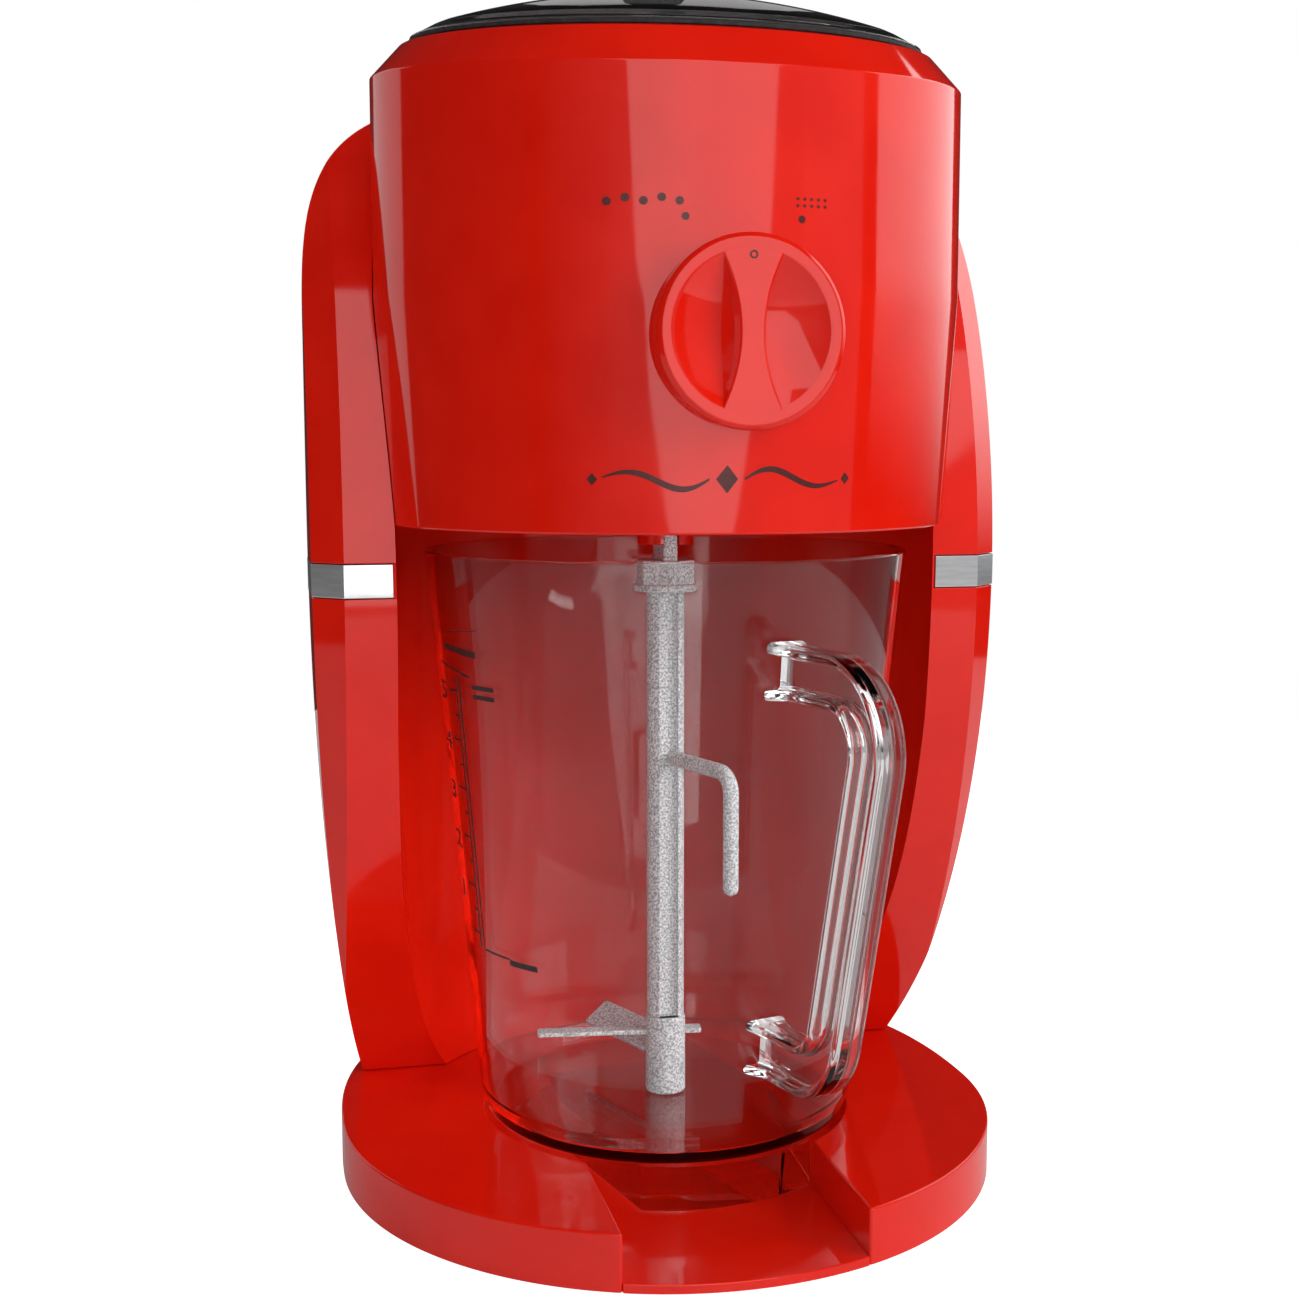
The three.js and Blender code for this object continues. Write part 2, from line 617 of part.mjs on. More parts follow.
function makeHopper() {
  const bore = BEARING_RADIUS + 0.4;
  const hopper = slantedLathe([
    [bore, FLOOR_LOW],
    [81, FLOOR_LOW],
    [83, SLANT_START],
    [85.4, 380],
    [85.4, HOPPER_TOP],
    [83.4, HOPPER_TOP],
    [83.4, 380],
    [80.8, SLANT_START],
    [79, FLOOR_HIGH],
    [bore, FLOOR_HIGH],
    [bore, FLOOR_LOW],
  ], 32);
  const slotEnds = [BLADE_Y - 25, BLADE_Y + 25];
  const bladeSlot = box(-BLADE_SLOT_HALF, BLADE_SLOT_HALF, ...slotEnds, FLOOR_LOW - 2, FLOOR_HIGH + 2);
  addPart('ice_hopper', cut(hopper, bladeSlot), whitePlastic);

  // The chute's side, (y, z): upright in front, leaning back towards the top behind.
  const outside = [[-80, 233.2], [-40, 233.2], [-40, 262], [-22, 280.8], [-80, 280.8]];
  const inside = [[-78, 230], [-42, 230], [-42, 262.8], [-24.2, 284], [-78, 284]];
  const insideHalf = CHUTE_HALF - CHUTE_WALL;
  const chuteBody = solid(across(outside, -CHUTE_HALF, CHUTE_HALF));
  const chuteHollow = solid(across(inside, -insideHalf, insideHalf));
  addPart('discharge_chute', cut(chuteBody, chuteHollow), whitePlastic);
}

// ---------------------------------------------------------------- grain knob, cam and blade
function makeGrainControl() {
  const face = KNOB_FACE;
  const disc = join(
    rodY(KNOB_RADIUS, face + 1.4, KNOB_BACK, 0, KNOB_Z, 36),
    rodY(KNOB_RADIUS, face, face + 1.4, 0, KNOB_Z, 36, KNOB_RADIUS - 1.4),
  );
  const well = rodY(KNOB_RECESS_RADIUS, face - 1, face + KNOB_RECESS_DEPTH, 0, KNOB_Z, 32);
  const bar = solid(gripBar(face, face + KNOB_RECESS_DEPTH + 0.2));
  const pointer = rodY(1.2, face - 1, face + 0.8, 0, KNOB_Z + 22.3, 10);
  const shaftPocket = rodY(KNOB_SHAFT_RADIUS + GAP, KNOB_BACK - 1.6, KNOB_BACK + 1, 0, KNOB_Z, 20);
  addPart('grain_knob', cut(join(cut(disc, well), bar), pointer, shaftPocket), redGloss);
  addPart('knob_shaft', rodY(KNOB_SHAFT_RADIUS, KNOB_BACK - 1.3, KNOB_SHAFT_END, 0, KNOB_Z, 20), steel);
  const camDisc = rodY(CAM_RADIUS, CAM_FRONT, CAM_REAR, 0, KNOB_Z, 24);
  const camPin = rodY(CAM_PIN_RADIUS, CAM_REAR - 0.2, CAM_PIN_END, -CAM_ARM, KNOB_Z, 14);
  addPart('adjusting_cam', join(camDisc, camPin), whitePlastic);
  makeBlade();
}

// A frame that slides up and down on two posts, with the blade across its top.
function makeBlade() {
  const low = CARRIER_LOW - 1;
  const high = CARRIER_HIGH + 1;
  const pinReach = CAM_PIN_RADIUS + GAP;
  const frame = cut(
    box(-22, 22, -83.8, -25, CARRIER_LOW, CARRIER_HIGH),
    box(-9, 9, -74.6, -26.8, low, high),
    box(-23, -14.6, -84, -60, low, high),
    box(14.6, 23, -84, -60, low, high),
    box(-CAM_ARM - 3, -CAM_ARM + 3, -84, -76.8, KNOB_Z - pinReach, KNOB_Z + pinReach),
    post(GUIDE_RADIUS + GAP, low, high, -GUIDE_REACH, BLADE_Y, 16),
    post(GUIDE_RADIUS + GAP, low, high, GUIDE_REACH, BLADE_Y, 16),
  );
  addPart('blade_carrier', frame, whitePlastic);
  for (const [name, x] of [['left', -GUIDE_REACH], ['right', GUIDE_REACH]]) {
    const guide = post(GUIDE_RADIUS, CARRIER_LOW - 4.6, FLOOR_LOW - GAP, x, BLADE_Y, 16);
    addPart(`guide_post_${name}`, guide, steel);
  }

  const length = 48;
  const section = shapeOf([[-8, 302.4], [-5.4, 302.4], [1.6, 309.6], [0.6, 310.4]]);
  const blade = new THREE.ExtrudeGeometry(section, { depth: length, bevelEnabled: false });
  const rear = BLADE_Y + length / 2;
  blade.applyMatrix4(new THREE.Matrix4().set(1, 0, 0, 0, 0, 0, -1, rear, 0, 1, 0, 0, 0, 0, 0, 1));
  addPart('shaving_blade', solid(blade), steel);
}

// The hourglass bar across the knob's well.
function gripBar(y0, y1) {
  const shape = new THREE.Shape();
  const reach = KNOB_RECESS_RADIUS + 0.6;
  const wide = 7.4;
  const waist = 3.2;
  shape.moveTo(-wide, -reach);
  shape.lineTo(wide, -reach);
  shape.quadraticCurveTo(2 * waist - wide, 0, wide, reach);
  shape.lineTo(-wide, reach);
  shape.quadraticCurveTo(wide - 2 * waist, 0, -wide, -reach);
  const geometry = new THREE.ExtrudeGeometry(shape, {
    depth: y1 - y0,
    bevelEnabled: false,
    curveSegments: 10,
  });
  geometry.rotateX(Math.PI / 2);
  geometry.translate(0, y1, KNOB_Z);
  return geometry;
}

// ---------------------------------------------------------------- drive
function makeDrive() {
  makeBearing('spindle_bearing_lower', HEAD_COVER_LOW + 0.1, PULLEY_LOW - 1.5, HEAD_COVER_HIGH + 0.5);
  makeBearing('spindle_bearing_upper', FLOOR_LOW - 7, FLOOR_HIGH - 0.2, FLOOR_LOW - 3.4);
  const drivenSlot = box(-TENON_HALF - GAP, TENON_HALF + GAP, -20, 20, 200, TENON_TOP + GAP);
  const socket = post(SOCKET_RADIUS, SOCKET_LOW, SOCKET_HIGH, 0, 0, 24);
  addPart('drive_coupling', cut(socket, drivenSlot), redGloss);
  addPart('drive_spindle', post(SPINDLE_RADIUS, SOCKET_HIGH + GAP, SPINDLE_TOP, 0, 0, 24), steel);
  makePulley('pulley_large', PULLEY_RADIUS, SPINDLE_RADIUS + GAP, 0, 28, whitePlastic);
  makePulley('pulley_small', SMALL_PULLEY_RADIUS, ROTOR_BORE, MOTOR_Y, 16, brass);
  addPart('drive_belt', solid(beltGeometry()), rubber);

  const spindleBore = post(SPINDLE_RADIUS + GAP, IMPELLER_LOW - 16, IMPELLER_HIGH + 4);
  let impeller = cut(post(13, IMPELLER_LOW, IMPELLER_HIGH, 0, 0, 24), spindleBore);
  for (let arm = 0; arm < 3; arm += 1) {
    const vane = box(11, VANE_REACH, -1.6, 1.6, IMPELLER_LOW, VANE_TOP);
    impeller = join(impeller, turned(vane, 30 + arm * 120));
  }
  addPart('ice_impeller', impeller, whitePlastic);
  const nutLow = SPINDLE_TOP + GAP;
  const nut = cut(post(6.8, nutLow, nutLow + 4.7, 0, 0, 6), post(1, SPINDLE_TOP, SPINDLE_TOP + 2));
  addPart('impeller_nut', nut, zinc);
  makeMotor();
}

function makeBearing(name, low, high, flangeLow) {
  const sleeve = post(BEARING_RADIUS, low, high, 0, 0, 18);
  const flange = post(BEARING_FLANGE_RADIUS, flangeLow, flangeLow + 3, 0, 0, 18);
  const bore = post(SPINDLE_RADIUS + 0.05, low - 5, high + 5);
  addPart(name, cut(join(sleeve, flange), bore), brass);
}

function makePulley(name, radius, bore, y, segments, material) {
  const rimRadius = radius + PULLEY_RIM_REACH;
  const body = join(
    post(radius, PULLEY_LOW, PULLEY_HIGH, 0, y, segments),
    post(rimRadius, PULLEY_LOW - PULLEY_RIM, PULLEY_LOW, 0, y, segments),
    post(rimRadius, PULLEY_HIGH, PULLEY_HIGH + PULLEY_RIM, 0, y, segments),
  );
  addPart(name, cut(body, post(bore, PULLEY_LOW - 5, PULLEY_HIGH + 5, 0, y, 20)), material);
}

function makeMotor() {
  const motorBore = post(ROTOR_BORE, 90, 210, 0, MOTOR_Y, 14);
  const can = post(MOTOR_RADIUS, MOTOR_LOW, MOTOR_HIGH, 0, MOTOR_Y, 32);
  addPart('motor_can', cut(can, motorBore), zinc);
  const cap = post(MOTOR_RADIUS - 0.6, MOTOR_CAP_LOW, MOTOR_LOW - GAP, 0, MOTOR_Y, 28);
  addPart('motor_end_cap', cut(cap, motorBore), darkPlastic);
  const screwPlaces = [['left', -MOTOR_SCREW_REACH], ['right', MOTOR_SCREW_REACH]];
  const screwHoles = screwPlaces.map(([, x]) => post(SCREW_BORE, 180, 200, x, MOTOR_Y, 10));
  const plate = box(-34, 34, 101.6, 131.6, MOTOR_HIGH + GAP, BRACKET_HIGH);
  addPart('motor_bracket', cut(plate, motorBore, ...screwHoles), zinc);
  for (const [name, x] of screwPlaces) {
    const shank = post(SCREW_SHANK, MOTOR_HIGH + 0.2, BRACKET_HIGH + 0.5, x, MOTOR_Y, 10);
    const head = post(3, BRACKET_HIGH + GAP, BRACKET_HIGH + 2.1, x, MOTOR_Y, 12);
    addPart(`motor_screw_${name}`, join(shank, head), zinc);
  }
  addPart('rotor_shaft', post(ROTOR_RADIUS, ROTOR_LOW, ROTOR_HIGH, 0, MOTOR_Y, 14), steel);
  let fan = cut(post(5, FAN_LOW, FAN_HIGH, 0, MOTOR_Y, 16), motorBore);
  for (let blade = 0; blade < 6; blade += 1) {
    const vane = turned(box(4.6, 14, -0.8, 0.8, FAN_LOW + 0.4, FAN_HIGH - 0.4), blade * 60);
    fan = join(fan, vane.translate([0, MOTOR_Y, 0]));
  }
  addPart('cooling_fan', fan, darkPlastic);
}

// A flat belt around both pulleys: outer loop less inner loop.
function beltGeometry() {
  const loop = (big, small, Shape) => {
    const lean = Math.asin((big - small) / MOTOR_Y);
    const shape = new Shape();
    shape.absarc(0, 0, big, Math.PI - lean, Math.PI * 2 + lean, false);
    shape.absarc(0, MOTOR_Y, small, lean, Math.PI - lean, false);
    return shape;
  };
  const inner = GAP;
  const outer = GAP + BELT_THICKNESS;
  const shape = loop(PULLEY_RADIUS + outer, SMALL_PULLEY_RADIUS + outer, THREE.Shape);
  shape.holes.push(loop(PULLEY_RADIUS + inner, SMALL_PULLEY_RADIUS + inner, THREE.Path));
  const geometry = new THREE.ExtrudeGeometry(shape, {
    depth: PULLEY_HIGH - PULLEY_LOW - 2 * GAP,
    bevelEnabled: false,
    curveSegments: 12,
  });
  geometry.translate(0, 0, PULLEY_LOW + GAP);
  return geometry;
}

// ---------------------------------------------------------------- pitcher
function makePitcher() {
  const angle = radians(HANDLE_ANGLE);
  const jugSegments = 40;
  const spoutDirection = Math.PI / 2 + angle;
  const body = latheGeometry([
    [0, PITCHER_BOTTOM],
    [PITCHER_RADIUS_BOTTOM, PITCHER_BOTTOM],
    [PITCHER_RADIUS_HEEL, PITCHER_HEEL_Z],
    [pitcherOuter(SPOUT_START), SPOUT_START],
    [PITCHER_RADIUS_RIM, PITCHER_RIM],
    [PITCHER_RADIUS_RIM - PITCHER_WALL, PITCHER_RIM],
    [pitcherOuter(SPOUT_START) - PITCHER_WALL, SPOUT_START],
    [PITCHER_RADIUS_HEEL - PITCHER_WALL, PITCHER_HEEL_Z],
    [PITCHER_RADIUS_BOTTOM - 4, PITCHER_BOTTOM + PITCHER_FLOOR],
    [0, PITCHER_BOTTOM + PITCHER_FLOOR],
  ], jugSegments);
  body.rotateZ(spoutDirection);
  const places = body.getAttribute('position');
  const spout = new THREE.Vector2(Math.cos(spoutDirection), Math.sin(spoutDirection));
  for (let i = 0; i < places.count; i += 1) {
    const here = new THREE.Vector2(places.getX(i), places.getY(i));
    const facing = here.clone().normalize().dot(spout);
    if (facing > 0.9999 && places.getZ(i) > SPOUT_START + 1) {
      here.addScaledVector(spout, SPOUT_REACH);
      places.setXY(i, here.x, here.y);
    }
  }
  addPart('pitcher_jug', solid(body), clear);

  const keySides = turned(box(-FOOT_KEY_HALF, FOOT_KEY_HALF, -90, 90, 0, 30), HANDLE_ANGLE);
  const key = common(
    post(PITCHER_RADIUS_BOTTOM, RECESS_FLOOR + GAP, PITCHER_BOTTOM - GAP, 0, 0, 48),
    keySides,
    box(-FOOT_KEY_TRIM, FOOT_KEY_TRIM, -90, 90, 0, 30),
  );
  addPart('pitcher_foot_key', key, clear);
  const floorTop = PITCHER_BOTTOM + PITCHER_FLOOR + GAP;
  addPart('stirrer_pivot_pin', post(PIVOT_RADIUS, floorTop, PIVOT_TOP, 0, 0, 16), steel);

  const jugSkin = lathe([
    [0, 15],
    [PITCHER_RADIUS_BOTTOM + GAP, 15],
    [PITCHER_RADIUS_HEEL + GAP, PITCHER_HEEL_Z],
    [PITCHER_RADIUS_RIM + GAP, PITCHER_RIM],
    [0, PITCHER_RIM],
  ], 80);
  const bar = solid(swept(beamSection(), handlePath(), 26));
  const pads = [HANDLE_UPPER + 1, HANDLE_LOWER].map((z) => {
    const radius = pitcherOuter(z);
    return box(-6, 6, -radius - 3.4, -radius + 4, z - 9.5, z + 9.5);
  });
  addPart('pitcher_handle', turned(cut(join(bar, ...pads), jugSkin), HANDLE_ANGLE), clear);
}

// The handle's beam in its own section: two flanges and a thin web between them.
function beamSection() {
  const depth = 8.6;
  const width = 5.2;
  const flange = 3.4;
  const web = 1.4;
  return shapeOf([
    [-depth, -width],
    [-depth + flange, -width],
    [-depth + flange, -web],
    [depth - flange, -web],
    [depth - flange, -width],
    [depth, -width],
    [depth, width],
    [depth - flange, width],
    [depth - flange, web],
    [-depth + flange, web],
    [-depth + flange, width],
    [-depth, width],
  ]);
}

// Centre line of the handle in its own plane, drawn towards -Y and turned later.
function handlePath() {
  const path = new THREE.CurvePath();
  const at = (radius, z) => new THREE.Vector3(0, -radius, z);
  const slope = (HANDLE_OUT_TOP - HANDLE_OUT_LOW) / (HANDLE_UPPER - HANDLE_LOWER);
  const bend = HANDLE_BEND;
  const wallUpper = at(pitcherOuter(HANDLE_UPPER) - 2, HANDLE_UPPER);
  const wallLower = at(pitcherOuter(HANDLE_LOWER) - 2, HANDLE_LOWER);
  const upperIn = at(HANDLE_OUT_TOP - bend, HANDLE_UPPER);
  const upperOut = at(HANDLE_OUT_TOP - slope * bend, HANDLE_UPPER - bend);
  const lowerOut = at(HANDLE_OUT_LOW + slope * bend, HANDLE_LOWER + bend);
  const lowerIn = at(HANDLE_OUT_LOW - bend, HANDLE_LOWER);
  path.add(new THREE.LineCurve3(wallUpper, upperIn));
  path.add(new THREE.QuadraticBezierCurve3(upperIn, at(HANDLE_OUT_TOP, HANDLE_UPPER), upperOut));
  path.add(new THREE.LineCurve3(upperOut, lowerOut));
  path.add(new THREE.QuadraticBezierCurve3(lowerOut, at(HANDLE_OUT_LOW, HANDLE_LOWER), lowerIn));
  path.add(new THREE.LineCurve3(lowerIn, wallLower));
  return path;
}

// ---------------------------------------------------------------- stirrer
function makeStirrer() {
  const shaft = join(
    post(STIRRER_RADIUS, HUB_TOP + GAP, FLANGE_BOTTOM + 0.1, 0, 0, 24),
    post(FLANGE_RADIUS, FLANGE_BOTTOM, HEX_BOTTOM, 0, 0, 28),
    post(HEX_RADIUS, HEX_BOTTOM - 0.1, HEX_TOP, 0, 0, 6),
  );
  const grooveHalf = 3.35;
  const groove = box(-grooveHalf, grooveHalf, -9, -STIRRER_RADIUS + 3, HUB_TOP + 4, FLANGE_BOTTOM - 3);
  const tenon = box(-TENON_HALF, TENON_HALF, -TENON_REACH, TENON_REACH, HEX_TOP - 0.1, TENON_TOP);
  addPart('stirrer_shaft', join(cut(shaft, groove), tenon), greyNylon);

  const barStub = turned(box(0, BAR_STUB_REACH, -BAR_HALF, BAR_HALF, BAR_LOW, BAR_HIGH), BAR_ANGLE + 180);
  const hubBody = join(post(HUB_RADIUS, HUB_BOTTOM, HUB_TOP, 0, 0, 24), barStub);
  const hub = cut(hubBody, post(PIVOT_RADIUS + GAP, 10, PIVOT_TOP + 1, 0, 0, 16));
  addPart('stirrer_hub', hub, greyNylon);

  const hookPath = new THREE.CurvePath();
  const at = (radius, z) => new THREE.Vector3(0, -radius, z);
  const bendStart = at(HOOK_REACH - HOOK_BEND, HOOK_Z);
  const bendEnd = at(HOOK_REACH, HOOK_Z - HOOK_BEND);
  hookPath.add(new THREE.LineCurve3(at(STIRRER_RADIUS + 0.4, HOOK_Z), bendStart));
  hookPath.add(new THREE.QuadraticBezierCurve3(bendStart, at(HOOK_REACH, HOOK_Z), bendEnd));
  hookPath.add(new THREE.LineCurve3(bendEnd, at(HOOK_REACH, HOOK_END)));
  const hook = solid(swept(circleShape(HOOK_WIRE_RADIUS, 8), hookPath, 14));
  addPart('stirrer_hook', turned(hook, HOOK_ANGLE), greyNylon);

  const thick = PADDLE_HALF_THICKNESS;
  const paddle = box(HUB_RADIUS + GAP, PADDLE_REACH, -PADDLE_HALF, PADDLE_HALF, -thick, thick);
  const pitched = paddle.rotate([PADDLE_PITCH, 0, 0]).translate([0, 0, PADDLE_Z]);
  addPart('stirrer_paddle', turned(pitched, PADDLE_ANGLE), greyNylon);
  const bar = box(HUB_RADIUS + GAP, BAR_REACH, -BAR_HALF, BAR_HALF, BAR_LOW, BAR_HIGH);
  addPart('stirrer_bar', turned(bar, BAR_ANGLE), greyNylon);
}

// ---------------------------------------------------------------- lid
function makeLid() {
  const dome = (radius) => DOME_TOP - DOME_SAG * radius ** 2;
  const skirtOutside = SKIRT_RADIUS + 0.6;
  const outer = [];
  const inner = [];
  for (let i = 0; i <= DOME_STEPS; i += 1) {
    const radius = (DOME_RADIUS * i) / DOME_STEPS;
    outer.push([radius, dome(radius)]);
    inner.push([Math.min(radius, skirtOutside) * 0.97, dome(radius) - DOME_WALL]);
  }
  const lid = slantedLathe([
    [0, dome(0) - DOME_WALL],
    ...inner.slice(1, DOME_STEPS - 1),
    [SKIRT_INSIDE, dome(skirtOutside) - 3.2],
    [SKIRT_INSIDE, SKIRT_LOW],
    [SKIRT_RADIUS, SKIRT_LOW],
    [SKIRT_RADIUS, SEAL_HIGH + GAP],
    [DOME_RADIUS, SEAL_HIGH + GAP],
    ...outer.slice().reverse(),
  ], 40);
  addPart('lid_dome', lid, smoked);
  const sealInside = SKIRT_RADIUS + 0.4;
  const sealOutside = DOME_RADIUS + 0.5;
  addPart('lid_seal', slantedLathe([
    [sealInside, SEAL_LOW],
    [sealOutside, SEAL_LOW],
    [sealOutside, SEAL_HIGH],
    [sealInside, SEAL_HIGH],
    [sealInside, SEAL_LOW],
  ], 32), rubber);
  const stem = post(5, LID_POST_LOW + 4, dome(0) - DOME_WALL - 1, 0, 0, 20);
  const foot = post(9, LID_POST_LOW, LID_POST_LOW + 5, 0, 0, 20);
  addPart('lid_post', join(stem, foot), darkPlastic);
}

makeBase();
makeColumn();
makeHead();
makeGrainControl();
makeDrive();
makePitcher();
makeStirrer();
makeLid();

export default machine;
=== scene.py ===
import math

import bmesh
import bpy
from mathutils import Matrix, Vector


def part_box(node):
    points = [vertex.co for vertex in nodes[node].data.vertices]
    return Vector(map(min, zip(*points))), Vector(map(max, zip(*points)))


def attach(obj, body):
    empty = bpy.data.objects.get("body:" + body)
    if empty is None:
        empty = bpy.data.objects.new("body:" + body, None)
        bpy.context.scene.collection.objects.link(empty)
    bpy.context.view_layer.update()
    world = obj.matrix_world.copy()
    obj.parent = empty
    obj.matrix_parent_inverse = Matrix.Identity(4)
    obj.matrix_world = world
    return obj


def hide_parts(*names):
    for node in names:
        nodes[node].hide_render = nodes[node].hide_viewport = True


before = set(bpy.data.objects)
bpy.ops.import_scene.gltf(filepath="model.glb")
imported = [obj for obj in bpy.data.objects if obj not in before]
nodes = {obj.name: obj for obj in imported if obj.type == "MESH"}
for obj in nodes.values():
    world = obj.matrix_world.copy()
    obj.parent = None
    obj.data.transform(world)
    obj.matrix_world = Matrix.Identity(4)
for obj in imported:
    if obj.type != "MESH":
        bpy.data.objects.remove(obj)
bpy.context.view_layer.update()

MM = 0.001

# ---------- sizes, in millimetres
WALL = 2.6
GAP = 0.3
ROUND = 256  # steps round a large turned piece

BASE_RADIUS = 117.5
BASE_REAR = 139.5
BASE_REAR_POWER = 2.3
BASE_UNDERSIDE = 0.8
BASE_TOP = 19.8
CHANNEL_HALF = 40
RECESS_RADIUS = 66.2
RECESS_FLOOR = 4
FOOT_RADIUS = 8.4
FOOT_TOP = 4.7

COLUMN_FOOT = 20.1
COLUMN_HALF_WIDTH = 124.7
COLUMN_REAR = 136
COLUMN_POWER = 3.2
COLUMN_WIDEST_Z = 255
COLUMN_SHOULDER_Z = 300
COLUMN_TOP = 388
COLUMN_CROWN = 386
COLUMN_CORNER = 114.2  # the chamfer starts at this half width
FRONT_EDGE_Z = 215
FRONT_EDGE_Y = -13
FRONT_RADIUS_LOW = 315
FRONT_RADIUS_HIGH = 240
BAND_LOW = 208.2
BAND_HIGH = 219.6
GROMMET_Z = 46
GROMMET_HOLE = 7.3
SWITCH_Z = 84
SWITCH_HALF_WIDTH = 8.8
SWITCH_HALF_HEIGHT = 12.8
PANEL_HALF = 60  # service cover on the column's back
PANEL_LOW = 240
PANEL_HIGH = 346
VENT_ROWS = 7
VENT_LOW = 262
VENT_PITCH = 9
VENT_HEIGHT = 3.4
BAY_PROFILE = [(92.4, 20), (92.7, 60), (94.9, 105), (97, 160), (97.8, 232.2)]

HEAD_BOTTOM = 232.5
HEAD_RADIUS_BOTTOM = 97.5
HEAD_RADIUS = 101.5
HEAD_STRAIGHT_Z = 308
TOP_SLOPE = 0.1
SLANT_START = 330
SLANT_FULL = 381.8
HEAD_CHAMFER_Z = 392.7
HEAD_CHAMFER_RADIUS = 91.5
HEAD_LIP_Z = 393.4
HEAD_LIP_RADIUS = 88.6
HEAD_MOUTH_RADIUS = 86
HEAD_COVER_RADIUS = 94.5
HEAD_COVER_LOW = 232.9
HEAD_COVER_HIGH = 235.5
COVER_BORE = 12.6
ORNAMENT_X = -4.5
ORNAMENT_Z = 249.5

KNOB_Z = 293
KNOB_RADIUS = 29
KNOB_FACE = -110.6
KNOB_BACK = -101.9
WELL_RADIUS = 24.6
WELL_DEPTH = 7.2
KNOB_SEAT = -101.6  # flat seat on the drum behind the knob
POINTER_REACH = 22.3

PITCHER_BOTTOM = 20.1
PITCHER_RADIUS_BOTTOM = 65
PITCHER_FLOOR = 3
PITCHER_RADIUS_HEEL = 67.7
PITCHER_HEEL_Z = 29
PITCHER_RADIUS_RIM = 85.3
PITCHER_RIM = 223.4
HANDLE_ANGLE = 14.4
HANDLE_UPPER = 188
HANDLE_LOWER = 61
HANDLE_OUT_TOP = 138.6
HANDLE_OUT_LOW = 108.8
FOOT_KEY_HALF = 37.4
SPOUT_START = 201
SPOUT_REACH = 5
SPOUT_HALF = 13

STIRRER_RADIUS = 6.8
STIRRER_NOTCH = 3.35  # half width of the slot down the shaft's back
HUB_RADIUS = 7.3
HUB_BOTTOM = 23.6
HUB_TOP = 52
PIVOT_BORE = 2.8
PIVOT_TOP = 33
FLANGE_BOTTOM = 207.9
FLANGE_RADIUS = 11.5
HEX_BOTTOM = 210.4
HEX_TOP = 219
HEX_RADIUS = 10.9
TENON_HALF = 2.5
TENON_REACH = 8.4
TENON_TOP = 229.9
HOOK_Z = 148
HOOK_REACH = 44
HOOK_ANGLE = 17
HOOK_END = 105.5
HOOK_BEND = 7
HOOK_WIRE_RADIUS = 2.7
PADDLE_REACH = 46
PADDLE_HALF = 6
PADDLE_HALF_THICKNESS = 1.1
PADDLE_PITCH = -32
PADDLE_ANGLE = 112
PADDLE_Z = 40.4
BAR_REACH = 47
BAR_HALF = 3
BAR_ANGLE = 172
BAR_Z = 46
BAR_HALF_THICKNESS = 0.8
ARM_START = 7.6  # the paddle and the bar leave the hub here

SPINDLE_RADIUS = 5
SPINDLE_TOP = 345
SOCKET_RADIUS = 10
SOCKET_LOW = 224.6
SOCKET_HIGH = 232.6
IMPELLER_LOW = 316
IMPELLER_HIGH = 342
IMPELLER_RADIUS = 13
VANE_REACH = 73
VANE_TOP = 334
FLOOR_LOW = 306  # hopper floor
FLOOR_HIGH = 309
HOPPER_TOP = 390.4
BLADE_Y = -50
BLADE_SLOT_HALF = 9
CHUTE_Y = -60
CHUTE_HOLE_HALF = 20.4

DOME_TOP = 412.4
DOME_SAG = 0.00197  # the dome falls by this times the radius squared
DOME_DROP = 1.4  # and by this much more at its edge
DOME_RADIUS = 87.8
DOME_WALL = 2.4
SKIRT_RADIUS = 82.4
SKIRT_INSIDE = 80.2
SKIRT_LOW = 386
SEAL_LOW = 393.7
SEAL_HIGH = 395.05
LID_POST_LOW = 364

FLOOR_RADIUS = 1.15  # the stage's white floor, in metres
SCALE_ANGLE = -73  # where the printed scale stands, degrees from the front towards +X


# ---------- outlines
def smoothstep(value, low, high):
    share = min(max((value - low) / (high - low), 0), 1)
    return share * share * (3 - 2 * share)


def lerp(a, b, share):
    return a + (b - a) * share


def along(table, z):
    """The first value of a table of (value, z) rows, read at a height."""
    for (v0, z0), (v1, z1) in zip(table, table[1:]):
        if z <= z1:
            return lerp(v0, v1, min(max((z - z0) / (z1 - z0), 0), 1))
    return table[-1][0]


def column_share(z):
    if z > COLUMN_SHOULDER_Z:
        rise = (z - COLUMN_SHOULDER_Z) / (COLUMN_TOP - COLUMN_SHOULDER_Z)
        return (1 - min(rise, 1) ** 3.2) ** 0.25
    drop = max(COLUMN_WIDEST_Z - z, 0) / (COLUMN_WIDEST_Z - 40)
    return 1 - 0.104 * drop ** 2.6


def front_edge(z):
    radius = FRONT_RADIUS_LOW if z < FRONT_EDGE_Z else FRONT_RADIUS_HIGH
    return FRONT_EDGE_Y + radius - math.sqrt(radius ** 2 - (z - FRONT_EDGE_Z) ** 2)


def head_radius(z):
    share = min(max((z - HEAD_BOTTOM) / (HEAD_STRAIGHT_Z - HEAD_BOTTOM), 0), 1)
    return lerp(HEAD_RADIUS_BOTTOM, HEAD_RADIUS, share)


def pitcher_radius(z):
    share = (z - PITCHER_HEEL_Z) / (PITCHER_RIM - PITCHER_HEEL_Z)
    return lerp(PITCHER_RADIUS_HEEL, PITCHER_RADIUS_RIM, share)


def slanted_z(y, z):
    return z + TOP_SLOPE * y * smoothstep(z, SLANT_START, SLANT_FULL)


def arc(radius, start, end, steps, centre=(0, 0)):
    """Points on a circle between two angles in degrees."""
    angles = [math.radians(lerp(start, end, i / steps)) for i in range(steps + 1)]
    return [(centre[0] + radius * math.cos(a), centre[1] + radius * math.sin(a)) for a in angles]


